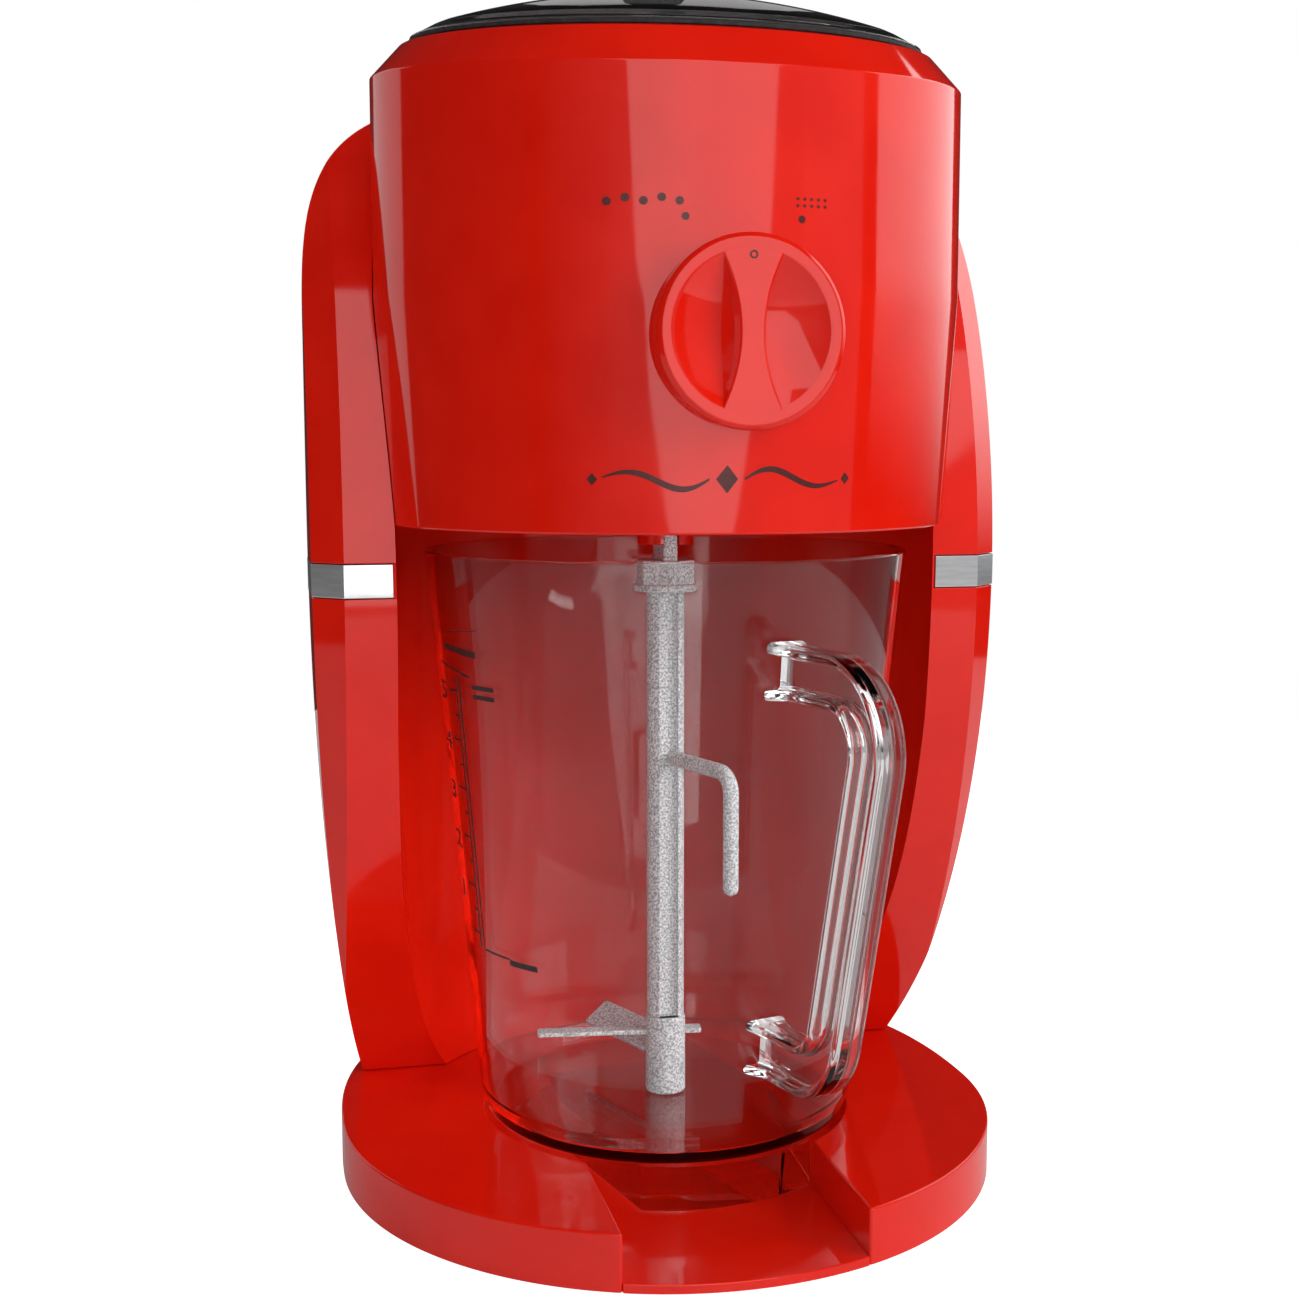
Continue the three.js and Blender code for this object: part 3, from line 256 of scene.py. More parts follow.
def fillet(points, radius, steps=5, closed=True):
    """An outline with its corners rounded; radius is one number, or one for each corner."""
    result = []
    count = len(points)
    for i, corner in enumerate(points):
        r = radius[i] if isinstance(radius, (list, tuple)) else radius
        here = Vector(corner)
        a = Vector(points[i - 1]) - here
        b = Vector(points[(i + 1) % count]) - here
        is_end = not closed and i in (0, count - 1)
        if r <= 0 or is_end or a.length < 1e-6 or b.length < 1e-6:
            result.append(tuple(corner))
            continue
        half = a.angle(b) / 2
        if half > math.radians(85):
            result.append(tuple(corner))
            continue
        tangent = min(r / math.tan(half), a.length * 0.49, b.length * 0.49)
        r = tangent * math.tan(half)
        a.normalize()
        b.normalize()
        centre = here + (a + b).normalized() * (r / math.sin(half))
        start = here + a * tangent - centre
        end = here + b * tangent - centre
        for k in range(steps + 1):
            result.append(tuple(centre + start.lerp(end, k / steps).normalized() * r))
    return result


def subdivided(points, step, with_last=True):
    """A path with points added along its long stretches, about one step apart."""
    result = []
    for a, b in zip(points, points[1:]):
        count = max(int(math.dist(a, b) // step), 1)
        result += [(lerp(a[0], b[0], k / count), lerp(a[1], b[1], k / count)) for k in range(count)]
    if with_last:
        result.append(points[-1])
    return result


def inset(outline, distance):
    """A counter-clockwise outline moved inwards."""
    moved = []
    count = len(outline)
    for i, point in enumerate(outline):
        here = Vector(point)
        a = (here - Vector(outline[i - 1])).normalized()
        b = (Vector(outline[(i + 1) % count]) - here).normalized()
        inward = Vector((-a.y - b.y, a.x + b.x))
        if inward.length < 1e-6:
            moved.append(tuple(point))
            continue
        inward.normalize()
        stretch = max(inward.dot(Vector((-a.y, a.x))), 0.4)
        moved.append(tuple(here + inward * (distance / stretch)))
    return moved


def band_profile(inner, outer, low, high, radii, steps=4):
    """The section of a turned disc or ring, with its corners rounded."""
    return fillet([(inner, low), (outer, low), (outer, high), (inner, high)], radii, steps)


# ---------- meshes
def add_object(name, data):
    thing = bpy.data.objects.new(name, data)
    bpy.context.scene.collection.objects.link(thing)
    return thing


def link(name, verts, faces, crease=32):
    mesh = bpy.data.meshes.new(name)
    mesh.from_pydata([tuple(c * MM for c in v) for v in verts], [], faces)
    form = bmesh.new()
    form.from_mesh(mesh)
    bmesh.ops.remove_doubles(form, verts=form.verts, dist=2e-6)
    bmesh.ops.dissolve_degenerate(form, edges=form.edges, dist=1e-6)
    bmesh.ops.recalc_face_normals(form, faces=form.faces)
    form.to_mesh(mesh)
    form.free()
    mesh.shade_smooth()
    mesh.set_sharp_from_angle(angle=math.radians(crease))
    return add_object(name, mesh)


def dress(piece, body, slot, stands_for=(), material=None):
    """Gives a piece its body and its slot's material, and hides the CAD nodes it stands for.

    The material is the slot's own, unless another is named."""
    material = material or SLOTS[slot]
    piece.data.materials.clear()
    piece.data.materials.append(material)
    weighted = piece.modifiers.new("weighted", "WEIGHTED_NORMAL")
    weighted.keep_sharp = True
    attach(piece, body)
    if stands_for:
        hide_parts(*stands_for)
    if material in (clear, key_clear, handle_clear, smoked):
        piece.visible_shadow = False
    return piece


def skin(rings, caps=False):
    """Vertices and faces between closed rings of equal length."""
    count = len(rings[0])
    verts = [point for ring in rings for point in ring]
    faces = []
    for low in range(0, (len(rings) - 1) * count, count):
        high = low + count
        for i in range(count):
            j = (i + 1) % count
            faces.append((low + i, low + j, high + j, high + i))
    if caps:
        faces.append(tuple(reversed(range(count))))
        faces.append(tuple((len(rings) - 1) * count + i for i in range(count)))
    return verts, faces


def turn(point, degrees):
    a = math.radians(degrees)
    x, y, z = point
    return (x * math.cos(a) - y * math.sin(a), x * math.sin(a) + y * math.cos(a), z)


def lathe(name, profile, segments=ROUND, centre=(0, 0), axis="Z", slanted=False):
    """A turned piece. The profile's points are (radius, height along the axis)."""
    rings = []
    for radius, height in profile:
        ring = []
        for i in range(segments):
            a = math.tau * i / segments
            u, v = radius * math.cos(a), radius * math.sin(a)
            if axis == "Z":
                z = slanted_z(v, height) if slanted else height
                ring.append((centre[0] + u, centre[1] + v, z))
            else:
                ring.append((centre[0] + u, height, centre[1] + v))
        rings.append(ring)
    return link(name, *skin(rings))


def prism(name, outline, z0, z1, low_round=0.3, high_round=0.6, steps=4, place=None):
    """An outline raised between two heights, with rounded rims. place moves each point at the end."""
    rings = []
    for k in range(steps + 1):
        a = math.pi / 2 * k / steps
        rings.append((low_round * (1 - math.sin(a)), z0 + low_round * (1 - math.cos(a))))
    for k in range(steps + 1):
        a = math.pi / 2 * k / steps
        rings.append((high_round * (1 - math.cos(a)), z1 - high_round * (1 - math.sin(a))))
    moved = [[(x, y, z) for x, y in inset(outline, d)] for d, z in rings]
    if place:
        moved = [[place(point) for point in ring] for ring in moved]
    return link(name, *skin(moved, caps=True))


def plate(x0, x1, y0, y1, corner=0.8, steps=4):
    """A rectangle's outline with round corners."""
    return fillet([(x0, y0), (x1, y0), (x1, y1), (x0, y1)], corner, steps)


def apply_modifiers(piece):
    graph = bpy.context.evaluated_depsgraph_get()
    mesh = bpy.data.meshes.new_from_object(piece.evaluated_get(graph))
    piece.modifiers.clear()
    piece.data = mesh
    mesh.shade_smooth()
    mesh.set_sharp_from_angle(angle=math.radians(32))


def carve(piece, *tools):
    """Cuts the tools out of a piece and removes them."""
    for tool in tools:
        boolean = piece.modifiers.new("cut", "BOOLEAN")
        boolean.operation = "DIFFERENCE"
        boolean.solver = "EXACT"
        boolean.object = tool
    apply_modifiers(piece)
    for tool in tools:
        bpy.data.objects.remove(tool)
    return piece


def sweep(name, section, path, bend, end_shift=None, taper=None):
    """A section (in-plane, sideways) carried along a path of (radius, z) points in a plane through the axis.

    bend is the plane's angle from the front towards +X, taper gives (depth, width) factors along the path,
    and end_shift moves the points of the two end rings."""
    rings = []
    for i, here in enumerate(path):
        before = Vector(path[max(i - 1, 0)])
        after = Vector(path[min(i + 1, len(path) - 1)])
        tangent = (after - before).normalized()
        normal = Vector((-tangent.y, tangent.x))
        deep, wide = taper(i / (len(path) - 1)) if taper else (1, 1)
        ring = []
        for s, w in section:
            radius = here[0] + normal.x * s * deep
            z = here[1] + normal.y * s * deep
            point = (w * wide, -radius, z)
            if end_shift and i in (0, len(path) - 1):
                point = end_shift(point)
            ring.append(turn(point, bend))
        rings.append(ring)
    return link(name, *skin(rings, caps=True))


def on_drum(x, z, lift):
    return (x, -math.sqrt((head_radius(z) + lift) ** 2 - x * x), z)


def on_pitcher(s, z, lift):
    radius = pitcher_radius(z) + lift
    a = math.radians(SCALE_ANGLE) + s / radius
    return (radius * math.sin(a), -radius * math.cos(a), z)


def printed(name, shapes, surface, lift=0.08):
    """Thin ink shapes on a curved surface: each is a strip of (left point, right point) pairs."""
    verts, faces = [], []
    for strip in shapes:
        start = len(verts)
        count = len(strip)
        for height in (lift, -0.06):
            for left, right in strip:
                verts.append(surface(*left, height))
                verts.append(surface(*right, height))
        top, low = start, start + 2 * count
        for i in range(count - 1):
            a = top + 2 * i
            faces.append((a, a + 1, a + 3, a + 2))
            b = low + 2 * i
            faces.append((b, b + 2, b + 3, b + 1))
            faces.append((a, a + 2, b + 2, b))
            faces.append((a + 1, b + 1, b + 3, a + 3))
        faces.append((top, low, low + 1, top + 1))
        end, low_end = top + 2 * (count - 1), low + 2 * (count - 1)
        faces.append((end, end + 1, low_end + 1, low_end))
    return link(name, verts, faces, crease=60)


def disc_strip(x, z, radius, steps=10):
    """A round dot as a strip of pairs."""
    strip = []
    for i in range(steps + 1):
        a = math.pi * i / steps
        half = radius * max(math.sin(a), 0.02)
        strip.append(((x - radius * math.cos(a), z - half), (x - radius * math.cos(a), z + half)))
    return strip


def line_strip(a, b, width, steps=8):
    """A straight stroke as a strip of pairs."""
    start, end = Vector(a), Vector(b)
    side = (end - start).normalized()
    side = Vector((-side.y, side.x)) * (width / 2)
    strip = []
    for i in range(steps + 1):
        middle = start.lerp(end, i / steps)
        strip.append((tuple(middle - side), tuple(middle + side)))
    return strip


# ---------- materials
def shader(tree, kind, **inputs):
    """A new shader node with its inputs set; an underscore in a name stands for a space."""
    node = tree.nodes.new(kind)
    for socket, value in inputs.items():
        node.inputs[socket.replace("_", " ")].default_value = value
    return node


def procedural(name, dark, light, tone_scale, rough, rough_scale, bump_scale, bump, stretch=(1, 1, 1),
               distance=0.0002, contrast=(0.35, 0.65), **sockets):
    """A Principled material whose colour, roughness and surface all vary with noise in the part's frame."""
    material = bpy.data.materials.new(name)
    material.use_nodes = True
    tree = material.node_tree
    bsdf = tree.nodes["Principled BSDF"]
    place = tree.nodes.new("ShaderNodeTexCoord")
    mapping = shader(tree, "ShaderNodeMapping", Scale=stretch)
    tree.links.new(place.outputs["Object"], mapping.inputs["Vector"])

    def noise(scale, detail):
        node = shader(tree, "ShaderNodeTexNoise", Scale=scale, Detail=detail)
        tree.links.new(mapping.outputs["Vector"], node.inputs["Vector"])
        return node.outputs["Fac"]

    ramp = tree.nodes.new("ShaderNodeValToRGB")
    ramp.color_ramp.elements[0].position = contrast[0]
    ramp.color_ramp.elements[1].position = contrast[1]
    ramp.color_ramp.elements[0].color = (*dark, 1)
    ramp.color_ramp.elements[1].color = (*light, 1)
    tree.links.new(noise(tone_scale, 3), ramp.inputs["Fac"])
    tree.links.new(ramp.outputs["Color"], bsdf.inputs["Base Color"])

    spread = shader(tree, "ShaderNodeMapRange", From_Min=0.3, From_Max=0.7, To_Min=rough[0], To_Max=rough[1])
    tree.links.new(noise(rough_scale, 2), spread.inputs["Value"])
    tree.links.new(spread.outputs["Result"], bsdf.inputs["Roughness"])

    relief = shader(tree, "ShaderNodeBump", Strength=bump, Distance=distance)
    tree.links.new(noise(bump_scale, 2), relief.inputs["Height"])
    tree.links.new(relief.outputs["Normal"], bsdf.inputs["Normal"])
    for socket, value in sockets.items():
        bsdf.inputs[socket.replace("_", " ")].default_value = value
    return material


red = procedural("red_gloss", (0.74, 0.009, 0.0022), (0.80, 0.012, 0.003), 30, (0.055, 0.085), 60, 260, 0.02,
                 IOR=1.5)
silver = procedural("plated_silver", (0.72, 0.73, 0.75), (0.84, 0.85, 0.86), 90, (0.09, 0.17), 300, 700, 0.03,
                    stretch=(1, 1, 8), Metallic=0.7)
clear = procedural("clear_tinted", (0.80, 0.80, 0.805), (0.83, 0.83, 0.835), 25, (0.0, 0.015), 50, 6, 0.002,
                   distance=0.0001, Transmission_Weight=1, IOR=1.12, Coat_Weight=1, Coat_IOR=1.32,
                   Coat_Roughness=0.02)
key_clear = procedural("clear_foot", (0.74, 0.73, 0.73), (0.78, 0.77, 0.77), 25, (0.0, 0.02), 50, 12, 0.01,
                       distance=0.0001, Transmission_Weight=1, IOR=1.08)
handle_clear = procedural("clear_moulding", (0.90, 0.90, 0.905), (0.94, 0.94, 0.945), 40, (0.0, 0.03), 60, 60,
                          0.01, distance=0.0001, Transmission_Weight=1, IOR=1.4)
smoked = procedural("smoked_clear", (0.34, 0.32, 0.33), (0.38, 0.36, 0.37), 30, (0.02, 0.05), 60, 60, 0.015,
                    Transmission_Weight=1, IOR=1.45)
nylon = procedural("speckled_grey", (0.33, 0.335, 0.34), (0.86, 0.865, 0.87), 1300, (0.5, 0.65), 900, 1700,
                   0.5, contrast=(0.4, 0.6))
dark = procedural("black_moulding", (0.012, 0.012, 0.013), (0.022, 0.022, 0.024), 400, (0.35, 0.5), 500, 1500,
                  0.25)
white = procedural("white_moulding", (0.66, 0.65, 0.62), (0.74, 0.73, 0.70), 60, (0.28, 0.42), 200, 900, 0.1)
rubber = procedural("black_rubber", (0.014, 0.014, 0.014), (0.028, 0.028, 0.028), 500, (0.7, 0.85), 400, 1200,
                    0.4)
steel = procedural("ground_steel", (0.50, 0.51, 0.53), (0.64, 0.65, 0.67), 200, (0.18, 0.34), 300, 800, 0.1,
                   stretch=(1, 1, 12), Metallic=1)
zinc = procedural("zinc_plate", (0.42, 0.44, 0.47), (0.56, 0.58, 0.60), 120, (0.3, 0.45), 200, 500, 0.12,
                  Metallic=1)
brass = procedural("sintered_bronze", (0.52, 0.35, 0.13), (0.66, 0.46, 0.19), 700, (0.3, 0.45), 500, 1300,
                   0.25, Metallic=1)
ink = procedural("dark_ink", (0.055, 0.004, 0.003), (0.085, 0.006, 0.005), 900, (0.3, 0.4), 500, 1500, 0.1)
scale_ink = procedural("scale_ink", (0.012, 0.008, 0.008), (0.03, 0.02, 0.02), 900, (0.35, 0.5), 500, 1500,
                       0.1)

SLOTS = {
    "red_shell": red, "silver": silver, "clear_plastic": clear, "smoked_plastic": smoked, "grey_nylon": nylon,
    "dark_plastic": dark, "white_plastic": white, "rubber": rubber, "steel": steel, "zinc": zinc,
    "brass": brass,
}


# ---------- base
def make_base():
    def rear_point(angle):
        power = 2 / BASE_REAR_POWER
        c, s = math.cos(angle), math.sin(angle)
        return (BASE_RADIUS * math.copysign(abs(c) ** power, c), BASE_REAR * s ** power)

    channel_angle = math.degrees(math.acos(CHANNEL_HALF / BASE_RADIUS))
    recess_angle = math.degrees(math.acos(CHANNEL_HALF / RECESS_RADIUS))
    front_right = arc(BASE_RADIUS, -channel_angle, 0, 60)[:-1]
    rear = [rear_point(math.pi * i / 160) for i in range(161)]
    front_left = arc(BASE_RADIUS, 180, 180 + channel_angle, 60)[1:]
    recess = arc(RECESS_RADIUS, 180 + recess_angle, -recess_angle, 120)
    outline = front_right + rear + front_left + recess
    corners = [0.0] * len(outline)
    for i in (0, len(outline) - len(recess) - 1, len(outline) - len(recess), len(outline) - 1):
        corners[i] = 1.5
    dress(prism("base_plate", fillet(outline, corners), BASE_UNDERSIDE, BASE_TOP, 0.5, 0.8),
          "machine", "red_shell", ["base_shell"])

    floor = arc(RECESS_RADIUS + 0.2, -recess_angle, 180 + recess_angle, 120)
    mouth = arc(BASE_RADIUS, -180 + channel_angle, -channel_angle, 40)
    dress(prism("base_channel_floor", floor + mouth, BASE_UNDERSIDE, RECESS_FLOOR, 0.3, 0.5),
          "machine", "red_shell")


def make_feet():
    for name in ("front_left", "front_right", "rear_left", "rear_right"):
        low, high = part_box(f"foot_{name}")
        middle = ((low.x + high.x) / 2 / MM, (low.y + high.y) / 2 / MM)
        profile = band_profile(0, FOOT_RADIUS, 0, FOOT_TOP, [0, 0.9, 0.5, 0], 5)
        dress(lathe(f"foot_pad_{name}", profile, 64, middle), "machine", "rubber", [f"foot_{name}"])


# ---------- column
def column_slice(z, bay, grow=0.0, side_steps=44, bay_steps=90):
    """One level of the column as a closed ring: the outer line's right half, its left half, the bay's arc."""
    share = column_share(z)
    depth_share = share ** 0.3 if z > COLUMN_SHOULDER_Z else 1
    half, depth = COLUMN_HALF_WIDTH * share + grow, COLUMN_REAR * depth_share + grow
    front = front_edge(z) - grow
    corner = COLUMN_CORNER + grow * 0.6

    def side_x(y):
        return half * max(1 - (abs(y) / depth) ** COLUMN_POWER, 0) ** (1 / COLUMN_POWER)

    def raised(value):
        return math.copysign(abs(value) ** (COLUMN_POWER / 2), value)

    low, high = front, depth
    for _ in range(40):
        y = (low + high) / 2
        if side_x(y) > corner + (y - front):
            low = y
        else:
            high = y
    chamfer_end = (side_x(low), low)
    facet_end = (min(corner, side_x(front)), front)
    begin = math.sqrt(max(bay ** 2 - front ** 2, 0))
    line = [(lerp(begin, facet_end[0], i / 6), front) for i in range(6)]
    line += [(lerp(facet_end[0], chamfer_end[0], i / 4), lerp(front, chamfer_end[1], i / 4))
             for i in range(4)]
    start = math.atan2(raised(chamfer_end[1] / depth), raised(chamfer_end[0] / half))
    for i in range(side_steps + 1):
        a = lerp(start, math.pi / 2, i / side_steps)
        c, s = max(math.cos(a), 0), math.sin(a)
        power = 2 / COLUMN_POWER
        line.append((half * c ** power, math.copysign(depth * abs(s) ** power, s)))
    outside = [i for i, (x, y) in enumerate(line) if math.hypot(x, y) > bay + 1e-4 and x >= 0]
    if begin > facet_end[0] or math.hypot(*line[1]) < bay:
        first = outside[0]
        inner, outer = Vector(line[max(first - 1, 0)]), Vector(line[first])
        for _ in range(40):
            middle = (inner + outer) / 2
            if middle.length < bay:
                inner = middle
            else:
                outer = middle
        line = [tuple(outer)] * first + line[first:]
    else:
        line[0] = (begin, front)
    mirrored = [(-x, y) for x, y in reversed(line[:-1])]
    inner_start = math.degrees(math.atan2(line[0][1], -line[0][0]))
    inner_start += 360 if inner_start < -90 else 0
    inner_end = 180 - inner_start
    inner = arc(bay, inner_start, inner_end, bay_steps)[1:-1]
    return [(x, y, z) for x, y in line + mirrored + inner]


def column_levels(z0, z1, step):
    count = max(round((z1 - z0) / step), 1)
    return [lerp(z0, z1, i / count) for i in range(count + 1)]


def column_piece(name, levels, bay_of, grow=0.0, rim=0.35):
    """A column shell between its first and last level, with rims pulled in slightly for a soft edge."""
    rings = []
    for z in levels:
        near = min(z - levels[0], levels[-1] - z)
        pull = rim - math.sqrt(max(rim ** 2 - max(rim - near, 0) ** 2, 0)) if near < rim else 0
        rings.append(column_slice(z, bay_of(z), grow - pull))
    return link(name, *skin(rings, caps=True), crease=28)


def with_rims(levels, rim=0.35):
    low, high = levels[0], levels[-1]
    extra = [low + rim * s for s in (0.15, 0.45, 1)] + [high - rim * s for s in (1, 0.45, 0.15)]
    return sorted(levels + extra)


def block(name, x0, x1, y0, y1, z0, z1, corner=0.01):
    return prism(name, plate(x0, x1, y0, y1, corner, 1), z0, z1, 0.01, 0.01, 1)


def make_column():
    def bay_low(z):
        return along(BAY_PROFILE, z)

    def bay_high(z):
        if z < HEAD_BOTTOM - GAP:
            return along(BAY_PROFILE, z)
        return head_radius(z) + GAP

    lower = column_piece("column_lower", with_rims(column_levels(COLUMN_FOOT, BAND_LOW - GAP, 4)), bay_low)
    carve(lower,
          lathe("grommet_hole", [(0, 120), (GROMMET_HOLE, 120), (GROMMET_HOLE, 160), (0, 160)], 64,
                (0, GROMMET_Z), "Y"),
          block("switch_hole", -SWITCH_HALF_WIDTH, SWITCH_HALF_WIDTH, 120, 160,
                SWITCH_Z - SWITCH_HALF_HEIGHT, SWITCH_Z + SWITCH_HALF_HEIGHT))
    dress(lower, "machine", "red_shell", ["column_shell_lower"])

    band = column_piece("column_band", with_rims(column_levels(BAND_LOW, BAND_HIGH, 3), 0.3),
                        lambda z: bay_low(z) + 1.2, 0.15, 0.3)
    dress(band, "machine", "silver", ["silver_band"])
    lining = column_piece("bay_lining", column_levels(BAND_LOW - GAP, BAND_HIGH + GAP, 3), bay_low, -0.1, 0)
    for vertex in lining.data.vertices:
        flat = Vector((vertex.co.x, vertex.co.y))
        limit = (bay_low(vertex.co.z / MM) + 1.0) * MM
        if flat.length > limit:
            flat = flat.normalized() * limit
            vertex.co.x, vertex.co.y = flat.x, max(flat.y, (front_edge(vertex.co.z / MM) + 0.1) * MM)
    dress(lining, "machine", "red_shell")

    levels = column_levels(BAND_HIGH + GAP, 340, 4) + column_levels(342, COLUMN_CROWN, 1.6)
    upper = column_piece("column_upper", with_rims(levels), bay_high)
    carve(upper, block("panel_hole", -PANEL_HALF, PANEL_HALF, 112, 160, PANEL_LOW, PANEL_HIGH, 3))
    dress(upper, "machine", "red_shell", ["column_shell_upper"])
    make_rear_cover()


def rear_y(x, z):
    share = column_share(z)
    depth = COLUMN_REAR * (share ** 0.3 if z > COLUMN_SHOULDER_Z else 1)
    return depth * (1 - (abs(x) / (COLUMN_HALF_WIDTH * share)) ** COLUMN_POWER) ** (1 / COLUMN_POWER)


def make_rear_cover():
    """The service cover: a curved panel with two columns of slots and a stepped rim."""
    x_count, z_count = 60, 52
    verts, faces = [], []
    levels = [lerp(PANEL_LOW + GAP, PANEL_HIGH - GAP, j / z_count) for j in range(z_count + 1)]
    across = [lerp(GAP - PANEL_HALF, PANEL_HALF - GAP, i / x_count) for i in range(x_count + 1)]
    for lift in (-0.05, -WALL):
        verts += [(x, rear_y(x, z) + lift, z) for z in levels for x in across]
    row, layer = x_count + 1, (x_count + 1) * (z_count + 1)
    for j in range(z_count):
        for i in range(x_count):
            a = j * row + i
            faces.append((a, a + row, a + row + 1, a + 1))
            faces.append((layer + a, layer + a + 1, layer + a + row + 1, layer + a + row))
    border = list(range(row)) + [j * row + x_count for j in range(1, z_count + 1)]
    border += [z_count * row + i for i in reversed(range(x_count))]
    border += [j * row for j in reversed(range(1, z_count))]
    for a, b in zip(border, border[1:] + border[:1]):
        faces.append((a, b, layer + b, layer + a))
    panel = link("service_cover", verts, faces)
    slots = []
    for line in range(VENT_ROWS):
        z = VENT_LOW + line * VENT_PITCH
        for hand, x0, x1 in (("left", -34, -3), ("right", 3, 34)):
            outline = fillet([(x0, z), (x1, z), (x1, z + VENT_HEIGHT), (x0, z + VENT_HEIGHT)], 1.6, 6)
            slot = prism(f"slot_{hand}_{line}", outline, -160, -115, 0.01, 0.01, 1,
                         place=lambda p: (p[0], -p[2], p[1]))
            slots.append(slot)
    carve(panel, *slots)
    dress(panel, "machine", "red_shell", ["rear_cover"])


# ---------- head
def make_head():
    outer = fillet(
        [(HEAD_RADIUS_BOTTOM - WALL, HEAD_BOTTOM), (HEAD_RADIUS_BOTTOM, HEAD_BOTTOM),
         (HEAD_RADIUS, HEAD_STRAIGHT_Z), (HEAD_RADIUS, SLANT_START), (HEAD_RADIUS, SLANT_FULL),
         (HEAD_CHAMFER_RADIUS, HEAD_CHAMFER_Z), (HEAD_LIP_RADIUS, HEAD_LIP_Z),
         (HEAD_MOUTH_RADIUS, HEAD_LIP_Z)],
        [0, 0.8, 40, 0, 1.1, 1.4, 0.5, 0.4], 5, closed=False)
    inside = HEAD_RADIUS - WALL
    inner = [(HEAD_MOUTH_RADIUS, HEAD_LIP_Z), (HEAD_MOUTH_RADIUS, 391), (89.5, 390.3), (inside, 379.8),
             (inside, 355), (inside, SLANT_START), (inside, HEAD_STRAIGHT_Z)]
    profile = subdivided(outer, 6, with_last=False) + inner + [(HEAD_RADIUS_BOTTOM - WALL, HEAD_BOTTOM)]
    shell = lathe("head_drum", profile, 320, slanted=True)
    dress(shell, "machine", "red_shell", ["head_shell"])

    seat_radius, bore, seat_back = KNOB_RADIUS - 0.6, 7.3, -93
    seat = fillet([(seat_radius, seat_back), (seat_radius, KNOB_SEAT), (bore, KNOB_SEAT), (bore, seat_back)],
                  [0, 0.5, 0, 0], 4)
    dress(lathe("knob_seat", seat + seat[:1], 128, (0, KNOB_Z), "Y"), "machine", "red_shell")

    cover = band_profile(COVER_BORE, HEAD_COVER_RADIUS, HEAD_COVER_LOW, HEAD_COVER_HIGH, [0.4, 0.6, 0.2, 0.2])
    underside = lathe("head_underside", cover + cover[:1], 192)
    carve(underside, block("chute_hole", -CHUTE_HOLE_HALF, CHUTE_HOLE_HALF, CHUTE_Y - CHUTE_HOLE_HALF,
                           CHUTE_Y + CHUTE_HOLE_HALF, 200, 260, 1))
    dress(underside, "machine", "red_shell", ["head_bottom_cover"])

    wall = fillet([(9.4, FLOOR_LOW), (81, FLOOR_LOW), (83, SLANT_START), (85.4, 380), (85.4, HOPPER_TOP),
                   (83.4, HOPPER_TOP), (83.4, 380), (80.8, SLANT_START), (79, FLOOR_HIGH), (9.4, FLOOR_HIGH)],
                   [0, 3, 20, 20, 0.6, 0.6, 20, 20, 3, 0.4], 5)
    hopper = lathe("hopper_bowl", wall + wall[:1], 192, slanted=True)
    carve(hopper, block("blade_slot", -BLADE_SLOT_HALF, BLADE_SLOT_HALF, BLADE_Y - 25, BLADE_Y + 25,
                        FLOOR_LOW - 2, FLOOR_HIGH + 2, 1.5))
    dress(hopper, "machine", "white_plastic", ["ice_hopper"])


def make_marks():
    """Two dots for the knob's ends, a coarse and a fine cluster of grains, and a plain line ornament."""
    dots = [disc_strip(side * 18, 327, 1.15) for side in (-1, 1)]
    coarse = [disc_strip(-40.5 + 5.2 * i, 332 + (0.5 if i % 2 else -0.5), 1.25) for i in range(5)]
    fine = [disc_strip(16.6 + 2.3 * i, 332 + (1.0 if j else -1.0), 0.5, 8) for i in range(5) for j in (0, 1)]
    dress(printed("grain_marks", dots + coarse + fine, on_drum), "machine", "dark_plastic", material=ink)

    flourish = []
    for hand in (-1, 1):
        strip = []
        for i in range(49):
            share = i / 48
            x = ORNAMENT_X + hand * lerp(5.5, 37, share)
            z = ORNAMENT_Z + hand * 3.4 * math.sin(share * math.pi * 1.9) * (1 - 0.45 * share)
            half = 0.95 * math.sin(math.pi * min(share * 0.86 + 0.1, 1)) + 0.08
            strip.append(((x, z - half), (x, z + half)))
        flourish.append(strip)
    for reach, size in ((0, 3.4), (-39.7, 1.5), (39.7, 1.5)):
        diamond = []
        for k in (-1, -0.5, 0, 0.5, 1):
            x = ORNAMENT_X + reach + size * k
            half = size * 1.25 * (1 - abs(k)) + 0.02
            diamond.append(((x, ORNAMENT_Z - half), (x, ORNAMENT_Z + half)))
        flourish.append(diamond)
    dress(printed("line_ornament", flourish, on_drum), "machine", "dark_plastic", material=ink)


